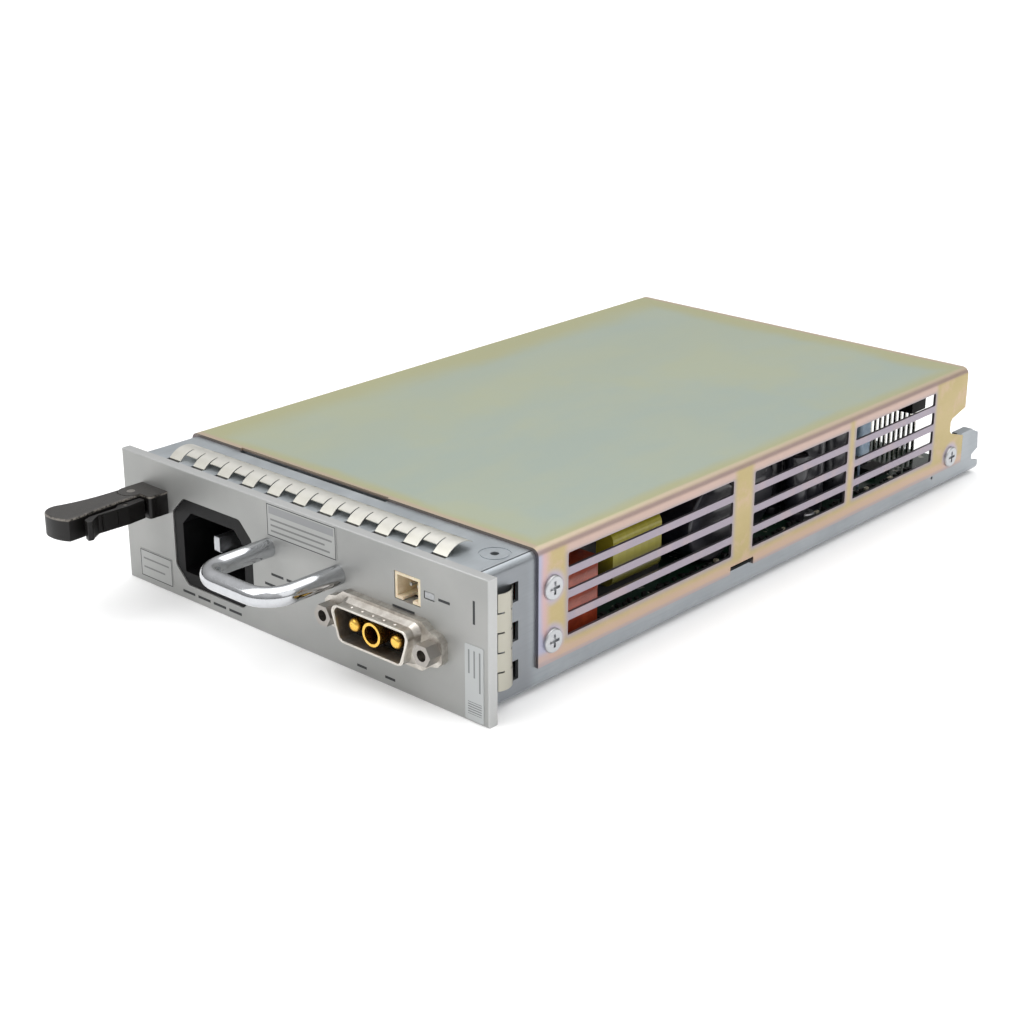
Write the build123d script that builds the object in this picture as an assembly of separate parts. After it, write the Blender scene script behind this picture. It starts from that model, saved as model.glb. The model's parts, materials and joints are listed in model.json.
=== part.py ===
from build123d import *
import math
import os

# Plug-in power module for a one-unit telecom chassis.
# Working frame: x from the front panel's left edge, y from its front face to the rear,
# z from its bottom edge. The whole is moved to the exported frame at the end.

# ---- driving dimensions (mm) ----
panel_width = 132.8
panel_height = 36.7
panel_thick = 2.8
panel_edge_round = 0.4

sheet = 1.0
side_inset = 4.4
top_gap = 0.7
floor_gap = 0.9
bend = 1.0
tray_length = 228.0
flange_depth = 31.0
low_wall_top = 10.2
ear_top = 15.4
seam_x = 126.6
seam_width = 0.35
flange_hole_x = 121.8
flange_hole_y = 13.9
flange_hole_radius = 1.05
ring_radius = 3.9
ring_width = 0.5
ring_depth = 0.15

cover_sheet = 0.8
cover_front = 20.8
cover_rear = 216.0
cover_side_bottom = 6.6
cover_bend = 1.3
front_notch_left = 23.9
front_notch_right = 79.4
side_notch_front = 97.0
side_notch_rear = 107.3
side_notch_bottom = 7.0
side_notch_rise = 2.1

fit_gap = 0.15
running_gap = 0.05
clear_gap = 0.3

# cover vents: rows from the top down, groups from front to rear
vent_height = 3.8
vent_pitch = 5.82
vent_top = 32.9
vent_rows = 4
vent_groups = ((31.4, 97.0), (106.4, 150.9), (154.9, 197.6))
vent_corner = 0.5

# shielding finger strips
finger_pitch = 4.83
finger_gap = 0.4
finger_rise = 2.3
finger_sheet = 0.2
finger_start = 14.0
finger_count = 21
finger_front = 4.9
finger_rear = 15.1
finger_spine = 1.2
finger_tuck = 1.4
finger_short = 1.7
finger_slot = 0.9
side_finger_pitch = 4.95
side_finger_start = 6.1
side_finger_count = 5
side_finger_front = 4.3
side_finger_rear = 12.5
side_finger_slot = 2.2

# mains inlet
inlet_x = 36.1
inlet_z = 16.55
inlet_width = 31.2
inlet_height = 24.0
inlet_chamfer = 4.6
inlet_round = 2.0
inlet_recess_width = 24.2
inlet_recess_height = 17.2
inlet_recess_chamfer = 3.6
inlet_recess_depth = 17.0
inlet_face = 0.3
inlet_body_depth = 22.0
inlet_pin_spacing = 7.0
inlet_pin_drop = 2.0
blade_width = 2.0
blade_height = 4.0
blade_tip = 7.0
earth_tip = 0.9
blade_tail = 29.0

# battery connector
battery_x = 100.3
battery_z = 15.3
battery_reach = 6.1
battery_shell_width = 25.6
battery_shell_height = 9.3
battery_shell_narrow = 1.9
battery_shell_sheet = 0.5
battery_flange_width = 39.2
battery_flange_height = 12.4
battery_flange_thick = 2.0
battery_ear_height = 7.6
battery_screw_spacing = 33.32
battery_contact_spacing = 7.0
battery_pin_radius = 1.8
battery_ring_radius = 3.0
battery_floor = 1.2
battery_body_depth = 12.0
jackscrew_flats = 5.0
jackscrew_thread = 1.42
jackscrew_shank = 1.2
jackscrew_clear = 1.85
jackscrew_reach = 5.7

# sensor socket and status light
sensor_x = 107.1
sensor_z = 27.35
sensor_width = 8.3
sensor_height = 6.8
sensor_wall = 0.75
sensor_depth = 6.4
light_x = 114.2
light_z = 27.55
light_width = 3.2
light_height = 1.7

# pull handle
handle_left = 58.2
handle_spacing = 25.4
handle_z = 24.2
handle_radius = 2.5
handle_reach = 22.2
handle_bend = 7.0

# ejector lever
lever_x = 11.4
lever_y = -6.2
lever_bottom = 22.9
lever_top = 29.1
lever_reach = 30.9
lever_pin_radius = 1.1
lever_nose = 3.4
lever_plate = 1.7
lever_wall_x = 17.1
lever_wall = 1.5
lever_travel = 28.0
lever_root_half = 1.4
claw_tip = 1.6
claw_front = 5.0
claw_rear = 7.0
latch_pin_x = 16.6
latch_pin_y = -12.0
latch_pin_radius = 0.7
latch_top_drop = 0.8

# fasteners
m3_radius = 1.5
m3_head_radius = 2.8
m3_head = 1.8
cover_screw_radius = 3.1
cover_screw_head = 0.8
stud_radius = 1.5
nut_height = 2.2

# circuit board
board_thick = 1.6
board_lift = 4.6
board_front = 27.0
board_rear = 212.0
board_edge_gap = 2.4
liner = 0.4
label_thick = 0.12
pin_half = 0.32

# ---- places worked out from the driving dimensions ----
tray_left = side_inset
tray_right = panel_width - side_inset
tray_top = panel_height - top_gap
tray_floor = floor_gap + sheet
wall_front = panel_thick
wall_back = panel_thick + sheet
inner_left = tray_left + sheet
inner_right = tray_right - sheet
cover_left = tray_left - cover_sheet
cover_right = tray_right + cover_sheet
cover_top = tray_top + cover_sheet
board_bottom = tray_floor + board_lift
board_top = board_bottom + board_thick
roof = tray_top - sheet
handle_right = handle_left + handle_spacing
claw_low = lever_bottom + lever_plate + clear_gap
claw_high = lever_top - lever_plate - clear_gap
latch_low = lever_bottom + 0.4
latch_high = lever_top - latch_top_drop
stud_places = ((9.5, 5.5), (70.7, 31.4), (122.6, 31.0), (122.6, 5.6), (17.3, 12.5), (54.9, 12.5))
screw_places = ((25.8, 25.9), (25.8, 12.3), (208.8, 10.3))
standoff_places = ((10.6, 33.0), (88.0, 32.0), (10.6, 120.0), (122.0, 142.0), (10.6, 200.0), (112.0, 208.8))

inductor_x, inductor_y = 34.0, 112.0
transistor_places = (108.0, 128.0, 148.0, 168.0)
card_chip_places = ((172.0, 5.0), (172.0, 13.0), (181.0, 5.0), (181.0, 13.0))
board_chip_places = ((106.0, 182.0), (114.0, 182.0), (24.0, 190.0), (36.0, 190.0))

HALF = (Align.CENTER, Align.CENTER, Align.MIN)


# ---- small makers ----
def block(x0, x1, y0, y1, z0, z1):
    """A box from its low and high corners."""
    return Pos((x0 + x1) / 2, (y0 + y1) / 2, (z0 + z1) / 2) * Box(x1 - x0, y1 - y0, z1 - z0)


def rod_x(x0, x1, y, z, radius):
    return Pos(x0, y, z) * Rot(0, 90, 0) * Cylinder(radius, x1 - x0, align=HALF)


def rod_y(x, y0, y1, z, radius):
    return Pos(x, y0, z) * Rot(-90, 0, 0) * Cylinder(radius, y1 - y0, align=HALF)


def rod_z(x, y, z0, z1, radius):
    return Pos(x, y, z0) * Cylinder(radius, z1 - z0, align=HALF)


def slab_xz(face, y0, y1):
    """A front-view outline given the thickness from y0 to y1."""
    plane = Plane(origin=(0, y1, 0), x_dir=(1, 0, 0), z_dir=(0, -1, 0))
    return extrude(plane * face, y1 - y0, dir=(0, -1, 0))


def slab_yz(face, x0, x1):
    """A side-view outline given the thickness from x0 to x1."""
    plane = Plane(origin=(x0, 0, 0), x_dir=(0, 1, 0), z_dir=(1, 0, 0))
    return extrude(plane * face, x1 - x0, dir=(1, 0, 0))


def slab_xy(face, z0, z1):
    """A plan outline given the thickness from z0 to z1."""
    return extrude(Plane.XY.offset(z0) * face, z1 - z0, dir=(0, 0, 1))


def outline(points, radius=0.0):
    """A closed polygon with every corner rounded by the same radius."""
    face = Polygon(*points, align=None)
    return fillet(face.vertices(), radius) if radius else face


def rounded(x0, x1, z0, z1, radius):
    return Pos((x0 + x1) / 2, (z0 + z1) / 2) * RectangleRounded(x1 - x0, z1 - z0, radius)


def clipped(x, z, width, height, top_cut, bottom_cut, radius=0.4):
    """A rectangle about (x, z) with cut corners, as on a mains inlet."""
    w, h = width / 2, height / 2
    points = [(x - w, z + h - top_cut), (x - w + top_cut, z + h), (x + w - top_cut, z + h)]
    points += [(x + w, z + h - top_cut), (x + w, z - h + bottom_cut)]
    if bottom_cut:
        points += [(x + w - bottom_cut, z - h), (x - w + bottom_cut, z - h)]
        points += [(x - w, z - h + bottom_cut)]
    else:
        points += [(x - w, z - h)]
    return outline(points, radius)


def d_outline(width, height, narrow, radius):
    """The battery connector's mouth: wider at the top than at the bottom."""
    w, h = width / 2, height / 2
    corners = [(-w, h), (w, h), (w - narrow, -h), (-w + narrow, -h)]
    return outline([(battery_x + x, battery_z + z) for x, z in corners], radius)


def wire(points, bend_radius, radius):
    """A round lead along straight runs joined by arcs."""
    path = FilletPolyline(*points, radius=bend_radius)
    return sweep(Plane(origin=path @ 0, z_dir=path % 0) * Circle(radius), path=path)


def hexagon(x, y0, y1, z, flats):
    """A hexagonal bar along y, two flats level."""
    return slab_xz(Pos(x, z) * RegularPolygon(flats / math.sqrt(3), 6), y0, y1)


def bar_y(x, y0, y1, z, half_width, half_height):
    """A rectangular bar along y about (x, z)."""
    return block(x - half_width, x + half_width, y0, y1, z - half_height, z + half_height)


def group(pieces):
    """Separate solids kept in one node."""
    return Compound(children=[solid for piece in pieces for solid in piece.solids()])


# ---- openings shared by the panel and the tray's front wall ----
def inlet_opening():
    grown = 2 * fit_gap
    width, height = inlet_width + grown, inlet_height + grown
    return clipped(inlet_x, inlet_z, width, height, inlet_chamfer, inlet_chamfer, inlet_round)


def battery_opening():
    grown = 2 * fit_gap
    return d_outline(battery_shell_width + grown, battery_shell_height + grown, battery_shell_narrow, 2.0)


def sensor_opening():
    w, h = sensor_width / 2 + fit_gap, sensor_height / 2 + fit_gap
    return rounded(sensor_x - w, sensor_x + w, sensor_z - h, sensor_z + h, 0.3)


def light_opening():
    w, h = light_width / 2 + fit_gap, light_height / 2 + fit_gap
    return rounded(light_x - w, light_x + w, light_z - h, light_z + h, 0.3)


def lever_opening(y):
    """The slot that the lever's root swings through, as wide as the root needs at this depth."""
    turn = math.radians(lever_travel)
    along = (y - lever_y + lever_root_half * math.sin(turn)) / math.cos(turn)
    right = lever_x + lever_root_half * math.cos(turn) + along * math.sin(turn) + clear_gap
    return rounded(lever_x - 2.4, right, lever_bottom + clear_gap, lever_top - clear_gap, 0.4)


def battery_screws_x():
    return [battery_x + side * battery_screw_spacing / 2 for side in (-1, 1)]


def front_openings(y0, y1):
    faces = (inlet_opening(), battery_opening(), sensor_opening(), light_opening(), lever_opening(y1 - 1))
    cuts = [slab_xz(face, y0, y1) for face in faces]
    cuts += [rod_y(x, y0, y1, battery_z, jackscrew_clear) for x in battery_screws_x()]
    cuts += [rod_y(x, y0, y1, handle_z, m3_radius) for x in (handle_left, handle_right)]
    return cuts


# ---- casing ----
def front_panel():
    body = block(0, panel_width, 0, panel_thick, 0, panel_height)
    body = fillet(body.edges().group_by(Axis.Y)[0], panel_edge_round)
    for cut in front_openings(-1, panel_thick + 1):
        body -= cut
    for x, z in stud_places:
        body -= rod_y(x, panel_thick - 1.6, panel_thick + 1, z, stud_radius)
    return body


def tray_wall_profile():
    """Side outline of what is cut away above the tray's low walls and rear ears."""
    notch = side_notch_bottom
    ear = cover_rear + 1.6
    points = [(flange_depth, 60), (flange_depth, low_wall_top), (side_notch_front, low_wall_top)]
    points += [(side_notch_front, notch), (side_notch_rear, notch), (side_notch_rear, low_wall_top)]
    points += [(200.0, low_wall_top)]
    points += [(203.0, ear_top), (ear + 5.0, ear_top), (ear + 9.2, ear_top - 1.8), (ear + 9.8, 8.3)]
    points += [(ear + 6.4, 6.9), (ear + 6.4, 5.4), (ear + 8.0, 4.6), (tray_length, 4.1)]
    points += [(tray_length, 2.0), (tray_length - 0.9, floor_gap), (tray_length - 0.9, -5)]
    points += [(tray_length + 9, -5)]
    points += [(tray_length + 9, 60)]
    return outline(points)


def finger_slots():
    """Slots in the top flange and the right wall that take the tucked finger ends."""
    cuts = []
    for index in range(finger_count):
        x = finger_start + index * finger_pitch
        y0, y1 = finger_front - finger_slot, finger_front + 0.5
        if index % 2:
            y0, y1 = finger_rear - 0.5, finger_rear + finger_slot
        cuts.append(block(x, x + finger_pitch, y0, y1, roof - 1, tray_top + 1))
    for index in range(side_finger_count):
        z = side_finger_start + index * side_finger_pitch
        y0, y1 = side_finger_rear - 0.5, side_finger_rear + side_finger_slot
        if index % 2:
            y0, y1 = side_finger_front - 0.4, side_finger_front + 0.5
        cuts.append(block(inner_right - 1, tray_right + 1, y0, y1, z, z + side_finger_pitch))
    return cuts


def chassis_tray():
    body = block(tray_left, tray_right, wall_front, tray_length, floor_gap, tray_top)
    body = fillet(body.edges().filter_by(Axis.Y), bend + sheet)
    hollow = block(inner_left, inner_right, wall_back, tray_length + 1, tray_floor, roof)
    body -= fillet(hollow.edges().filter_by(Axis.Y), bend)
    body -= slab_yz(tray_wall_profile(), tray_left - 1, tray_right + 1)
    for cut in front_openings(wall_front - 1, wall_back + 1) + finger_slots():
        body -= cut
    for x, z in stud_places:
        body -= rod_y(x, wall_front - 1, wall_back + 1, z, stud_radius + fit_gap)
    body -= rod_z(flange_hole_x, flange_hole_y, roof - 1, tray_top + 1, flange_hole_radius)
    ring = rod_z(flange_hole_x, flange_hole_y, tray_top - ring_depth, tray_top + 1, ring_radius)
    ring -= rod_z(flange_hole_x, flange_hole_y, tray_top - 1, tray_top + 2, ring_radius - ring_width)
    body -= ring
    body -= block(seam_x, seam_x + seam_width, wall_back, flange_depth - 3, roof - 1, tray_top + 1)
    body -= block(front_notch_left, front_notch_right, cover_front - 0.7, cover_front + 0.9,
                  roof - 1, tray_top + 1)
    body -= block(tray_left - 1, inner_left + 1, wall_back, 15.5, claw_low - clear_gap, claw_high + clear_gap)
    for y, z in screw_places:
        body -= rod_x(tray_left - 1, tray_right + 1, y, z, m3_radius)
    body -= rod_x(tray_right - sheet - 1, tray_right + 1, 200.5, 5.4, 0.5)
    lip = block(tray_right - 4.0, tray_right - sheet, cover_rear + 2, cover_rear + 9,
                ear_top - 1.6, ear_top - 0.7)
    lips = lip + mirror(lip, about=Plane.YZ.offset(panel_width / 2))
    return body + lips


def top_cover():
    body = block(cover_left, cover_right, cover_front, cover_rear, cover_side_bottom - 9, cover_top)
    body = fillet(body.edges().filter_by(Axis.Y), cover_bend + cover_sheet)
    hollow = block(tray_left, tray_right, cover_front - 1, cover_rear + 1, cover_side_bottom - 20, tray_top)
    body -= fillet(hollow.edges().filter_by(Axis.Y), bend + sheet)
    body -= block(0, panel_width, 0, tray_length, -20, cover_side_bottom)
    body -= block(front_notch_left, front_notch_right, cover_front - 1, cover_front + 0.7,
                  tray_top - 1, cover_top + 1)
    body -= block(0, panel_width, side_notch_front, side_notch_rear,
                  0, cover_side_bottom + side_notch_rise)
    step = cover_rear
    notch = [(step + 5, 25.5), (step - 0.5, 24.2), (step - 7.4, 22.4), (step - 8.2, 21.4)]
    notch += [(step - 8.2, 18.6), (step - 7.4, 17.6), (step - 0.4, 15.4), (step + 5, 14.4)]
    body -= slab_yz(outline(notch, 0.6), 0, panel_width)
    for row in range(vent_rows):
        z = vent_top - row * vent_pitch
        for front, rear in vent_groups:
            body -= slab_yz(rounded(front, rear, z - vent_height, z, vent_corner), 0, panel_width)
    for y, z in screw_places:
        body -= rod_x(0, panel_width, y, z, m3_radius + fit_gap)
    return body


# ---- shielding finger strips ----
def finger_crest(front, rear):
    return front + 0.55 * (rear - front)


def finger_profile(front, rear, tucked_front, tucked_rear):
    """Section of a finger: a low arch over the sheet, one end turned down and the other stopping short."""
    low = 0.05
    crest = (finger_crest(front, rear), finger_rise)
    face = make_face(ThreePointArc((front, low), crest, (rear, low)) + Line((rear, low), (front, low)))
    inner = [(front + finger_sheet, low), (crest[0], crest[1] - finger_sheet), (rear - finger_sheet, low)]
    face -= make_face(ThreePointArc(*inner) + Line(inner[2], inner[0]))
    leg = Rectangle(finger_sheet, finger_tuck + 2 * low)
    short = Rectangle(2 * finger_short, 4 * finger_rise)
    if tucked_front:
        face += Pos(front + finger_sheet / 2, -finger_tuck / 2) * leg
        face -= Pos(rear, 0) * short
    if tucked_rear:
        face += Pos(rear - finger_sheet / 2, -finger_tuck / 2) * leg
        face -= Pos(front, 0) * short
    return face


def finger_strip(count, pitch, front, rear, first_tucked_front):
    """Fingers side by side along x from 0, joined by a spine along the crest."""
    strip = None
    for index in range(count):
        tucked_front = (index % 2 == 0) == first_tucked_front
        start = index * pitch
        section = finger_profile(front, rear, tucked_front, not tucked_front)
        finger = slab_yz(section, start, start + pitch - finger_gap)
        strip = finger if strip is None else strip + finger
    whole = slab_yz(finger_profile(front, rear, False, False), 0, count * pitch - finger_gap)
    middle = finger_crest(front, rear)
    spine_zone = block(0, count * pitch, middle - finger_spine, middle + finger_spine, 0.5, 5)
    return strip + (whole & spine_zone)


def gasket_strip_top():
    strip = finger_strip(finger_count, finger_pitch, finger_front, finger_rear, True)
    return Pos(finger_start + finger_gap / 2, 0, tray_top) * strip


def gasket_strip_side():
    strip = finger_strip(side_finger_count, side_finger_pitch, side_finger_front, side_finger_rear, False)
    upright = Rot(0, -90, 0) * mirror(strip, Plane.XY)
    return Pos(tray_right, 0, side_finger_start + finger_gap / 2) * upright


# ---- mains inlet ----
def inlet_housing():
    bezel = clipped(inlet_x, inlet_z, inlet_width, inlet_height, inlet_chamfer, inlet_chamfer, inlet_round)
    body = slab_xz(bezel, inlet_face, wall_back)
    body += slab_xz(clipped(inlet_x, inlet_z, 28.6, 21.4, 3.0, 3.0), wall_back, inlet_body_depth)
    body += slab_xz(rounded(13.6, 58.6, 8.6, 16.4, 1.5), wall_back, wall_back + 2.0)
    body += slab_xz(rounded(inlet_x - 16.6, inlet_x + 16.6, 4.0, 20.0, 1.5), wall_back, wall_back + 2.0)
    recess = clipped(inlet_x, inlet_z, inlet_recess_width, inlet_recess_height, inlet_recess_chamfer, 0)
    body -= slab_xz(recess, inlet_face - 1, inlet_face + inlet_recess_depth)
    for x, z in inlet_pin_places():
        body -= bar_y(x, 0, 40, z, blade_width / 2, blade_height / 2)
    for x, z in stud_places[4:]:
        body -= rod_y(x, wall_back - 1, wall_back + 3, z, stud_radius + fit_gap)
    return body


def inlet_pin_places():
    low = inlet_z - inlet_pin_drop
    outer = [(inlet_x + side * inlet_pin_spacing, low) for side in (-1, 1)]
    return outer + [(inlet_x, inlet_z + inlet_pin_drop)]


def inlet_pins():
    blades = []
    for x, z in inlet_pin_places():
        tip = earth_tip if x == inlet_x else blade_tip
        blade = bar_y(x, tip, inlet_body_depth + 1, z, blade_width / 2, blade_height / 2)
        blade = chamfer(blade.edges().group_by(Axis.Y)[0], 0.6)
        tail = bar_y(x, inlet_body_depth + 1, blade_tail, z, 0.4, blade_height / 2)
        blades.append(blade + tail)
    return group(blades)


def inlet_wires():
    """Live and neutral turn outwards to the board, earth runs straight back."""
    leads = []
    for x, z in inlet_pin_places():
        side = round((x - inlet_x) / inlet_pin_spacing)
        end_y = blade_tail + (10.0 if side else 15.0)
        points = [(x, blade_tail, z), (x, end_y, z)]
        if side:
            points.append((x + side * 9.0, end_y, z))
        points.append((x + side * 9.0, end_y, board_top))
        leads.append(wire(points, 3.0, 1.1))
    return group(leads)


# ---- battery connector ----
def flange_outline():
    """Full height behind the shell, narrowing to a rounded ear round each jackscrew."""
    end, ear, full = battery_flange_width / 2, battery_ear_height / 2, battery_flange_height / 2
    quarter = [(13.2, full), (15.6, ear + 0.6), (end - 1.4, ear), (end, ear - 1.4)]
    right = quarter + [(x, -z) for x, z in reversed(quarter)]
    left = [(-x, -z) for x, z in right]
    return outline([(battery_x + x, battery_z + z) for x, z in right + left], 0.8)


def battery_shell_bore():
    """Inside of the drawn shell, which the insulator fills."""
    wall = 2 * battery_shell_sheet
    return d_outline(battery_shell_width - wall, battery_shell_height - wall, battery_shell_narrow, 1.6)


def battery_shell():
    outer = slab_xz(d_outline(battery_shell_width, battery_shell_height, battery_shell_narrow, 2.0),
                    -battery_reach, -battery_flange_thick)
    collar = loft([
        Plane(origin=(0, -battery_flange_thick - 1.6, 0), x_dir=(1, 0, 0), z_dir=(0, -1, 0))
        * d_outline(battery_shell_width, battery_shell_height, battery_shell_narrow, 2.0),
        Plane(origin=(0, -battery_flange_thick, 0), x_dir=(1, 0, 0), z_dir=(0, -1, 0))
        * d_outline(battery_shell_width + 1.6, battery_shell_height + 1.6, battery_shell_narrow, 2.4)])
    flange = slab_xz(flange_outline(), -battery_flange_thick, 0)
    body = outer + collar + flange
    body -= slab_xz(battery_shell_bore(), -battery_reach - 1, 1)
    for x in battery_screws_x():
        body -= rod_y(x, -battery_flange_thick - 1, 1, battery_z, jackscrew_clear)
    for index in range(5):
        x = battery_x + (index - 2) * 3.6
        dimple = Pos(x, -4.8, battery_z + battery_shell_height / 2 + 0.35) * Sphere(0.6)
        body -= dimple
    return body


def battery_insulator():
    body = slab_xz(battery_shell_bore(), -battery_floor, wall_back + 0.5)
    half = battery_shell_width / 2
    seat = rounded(battery_x - half, battery_x + half, battery_z - 6.2, battery_z + 6.2, 1.5)
    body += slab_xz(seat, wall_back, wall_back + 2.4)
    body += slab_xz(d_outline(22.0, 8.0, battery_shell_narrow, 1.4), wall_back, battery_body_depth)
    for x in battery_contact_places():
        body -= rod_y(x, -8, 20, battery_z, battery_pin_radius)
    centre = rod_y(battery_x, -8, 20, battery_z, battery_ring_radius)
    return body - centre


def battery_contact_places():
    return (battery_x - battery_contact_spacing, battery_x + battery_contact_spacing)


def battery_pins():
    pins = []
    for x in battery_contact_places():
        pin = rod_y(x, -battery_reach + 1.1, battery_body_depth + 3, battery_z, battery_pin_radius)
        pin = fillet(pin.edges().group_by(Axis.Y)[0], 1.2)
        pins.append(pin - rod_y(x, battery_body_depth, battery_body_depth + 4, battery_z, 1.2))
    return group(pins)


def battery_centre_contact():
    ring = rod_y(battery_x, -battery_reach + 0.6, battery_body_depth + 3, battery_z, battery_ring_radius)
    ring -= rod_y(battery_x, -battery_reach, battery_body_depth - 2, battery_z, battery_ring_radius - 0.7)
    ring -= rod_y(battery_x, battery_body_depth, battery_body_depth + 4, battery_z, 1.2)
    return ring


def battery_wires():
    leads = []
    for index, x in enumerate((battery_contact_places()[0], battery_x, battery_contact_places()[1])):
        end_y = 34.0 + index * 5.0
        points = [(x, battery_body_depth, battery_z), (x, end_y, battery_z), (x, end_y, board_top)]
        leads.append(wire(points, 3.5, 1.2))
    return group(leads)


def jackscrews():
    bodies = []
    for x in battery_screws_x():
        post = hexagon(x, -jackscrew_reach, -battery_flange_thick, battery_z, jackscrew_flats)
        post += rod_y(x, -battery_flange_thick, wall_back + 4.5, battery_z, jackscrew_shank)
        bore_end = -battery_flange_thick - 0.4
        bodies.append(post - rod_y(x, -jackscrew_reach - 1, bore_end, battery_z, jackscrew_thread))
    return group(bodies)


def jackscrew_nuts():
    nuts = []
    for x in battery_screws_x():
        nut = hexagon(x, wall_back, wall_back + nut_height, battery_z, 6.0)
        nuts.append(nut - rod_y(x, wall_back - 1, wall_back + 4, battery_z, jackscrew_shank))
    return group(nuts)


# ---- sensor socket, status light and their board ----
def sensor_header():
    w, h = sensor_width / 2, sensor_height / 2
    body = block(sensor_x - w, sensor_x + w, fit_gap, signal_board_front(), sensor_z - h, sensor_z + h)
    inner_w, inner_h = w - sensor_wall, h - sensor_wall
    body -= bar_y(sensor_x, -1, sensor_depth, sensor_z, inner_w, inner_h)
    key_low, key_high = sensor_z - h - 1, sensor_z - inner_h + 0.1
    body -= block(sensor_x - 1.6, sensor_x + 1.6, -1, sensor_depth - 2, key_low, key_high)
    for x in sensor_pin_places():
        body -= bar_y(x, 0, 20, sensor_z, pin_half, pin_half)
    return body


def sensor_pin_places():
    return (sensor_x - 1.27, sensor_x + 1.27)


def signal_board_front():
    return sensor_depth + 1.4


def sensor_pins():
    pins = []
    for x in sensor_pin_places():
        pins.append(bar_y(x, 2.4, signal_board_front() + 3.0, sensor_z, pin_half, pin_half))
    return group(pins)


def status_light():
    w, h = light_width / 2, light_height / 2
    body = block(light_x - w, light_x + w, 0.1, signal_board_front(), light_z - h, light_z + h)
    return fillet(body.edges().group_by(Axis.Y)[0], 0.2)


def signal_board():
    front = signal_board_front()
    body = block(94.0, 119.5, front, front + 1.2, 22.4, 33.6)
    for x in sensor_pin_places():
        body -= bar_y(x, front - 1, front + 3, sensor_z, pin_half, pin_half)
    return body


def signal_wires():
    leads = []
    start = signal_board_front() + 1.2
    for x in (95.8, 97.4, 103.1, 104.7):
        points = [(x, start, 31.0), (x, 32.0, 31.0), (x, 32.0, board_top)]
        leads.append(wire(points, 5.0, 0.6))
    return group(leads)


# ---- pull handle ----
def pull_handle():
    points = [(handle_left, 0, handle_z), (handle_left, -handle_reach, handle_z)]
    points += [(handle_right, -handle_reach, handle_z), (handle_right, 0, handle_z)]
    body = wire(points, handle_bend, handle_radius)
    for x in (handle_left, handle_right):
        body -= rod_y(x, -7, 1, handle_z, m3_radius)
    return body


def handle_screws():
    screws = []
    for x in (handle_left, handle_right):
        screw = rod_y(x, -6, wall_back, handle_z, m3_radius)
        screws.append(screw + cross_head_y(x, wall_back, handle_z))
    return group(screws)


def cross_head_y(x, y, z):
    """A cross-recessed pan head whose top faces the rear."""
    head = rod_y(x, y, y + m3_head, z, m3_head_radius)
    head = fillet(head.edges().group_by(Axis.Y)[-1], 0.7)
    head -= block(x - 1.5, x + 1.5, y + m3_head - 0.9, y + m3_head + 1, z - 0.35, z + 0.35)
    return head - block(x - 0.35, x + 0.35, y + m3_head - 0.9, y + m3_head + 1, z - 1.5, z + 1.5)


# ---- ejector lever ----
def lever_base():
    """Moulded clevis in front of the panel, clipped behind the tray's front wall."""
    nose = rod_z(lever_x, lever_y, lever_bottom, lever_top, lever_nose)
    body = nose + block(lever_x - lever_nose, lever_x + lever_nose, lever_y, 0, lever_bottom, lever_top)
    wall_right = lever_wall_x + lever_wall
    body += block(lever_x, wall_right, lever_y + 0.4, 0, lever_bottom, lever_top)
    corner = body.edges().filter_by(Axis.Z).sort_by(lambda edge: edge.center().X - edge.center().Y)[-1]
    body = fillet(corner, 0.9)
    body -= block(0, lever_wall_x, lever_y - 5, 1, claw_low - clear_gap, claw_high + clear_gap)
    for low, high, hook in ((lever_bottom + 0.45, lever_bottom + lever_plate, lever_bottom - 0.4),
                            (lever_top - lever_plate, lever_top - 0.45, lever_top + 0.4)):
        body += block(lever_x - 2.2, lever_x + 4.4, 0, wall_back + 1.6, low, high)
        edge = sorted((hook, low if hook < low else high))
        body += block(lever_x - 2.2, lever_x + 4.4, wall_back + 0.05, wall_back + 1.6, edge[0], edge[1])
    body -= rod_z(lever_x, lever_y, lever_bottom - 1, lever_top + 1, lever_pin_radius)
    rib_x = lever_wall_x + lever_wall
    return body + block(rib_x, rib_x + 0.2, -3.9, -3.4, lever_bottom + 0.6, lever_top - 0.8)


def lever_outline():
    """Plan of the lever's grip: waisted near the pivot, broad and round at the tip."""
    left = Spline((lever_x - 3.4, lever_y), (lever_x - 3.5, -13.4), (lever_x - 4.2, -19.3),
                  (lever_x - 5.8, -25.6))
    tip_left = ThreePointArc((lever_x - 5.8, -25.6), (lever_x - 5.1, -29.1), (lever_x - 1.6, -lever_reach))
    tip_right = ThreePointArc((lever_x - 1.6, -lever_reach), (lever_x + 2.0, -30.6), (lever_x + 5.0, -29.2))
    right = Spline((lever_x + 5.0, -29.2), (lever_x + 4.9, -25.8), (lever_x + 4.4, -21.0),
                   (lever_x + 3.7, -12.6), (lever_x + 3.6, lever_y))
    end = Line((lever_x + 3.6, lever_y), (lever_x - 3.4, lever_y))
    return make_face(left + tip_left + tip_right + right + end)


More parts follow.
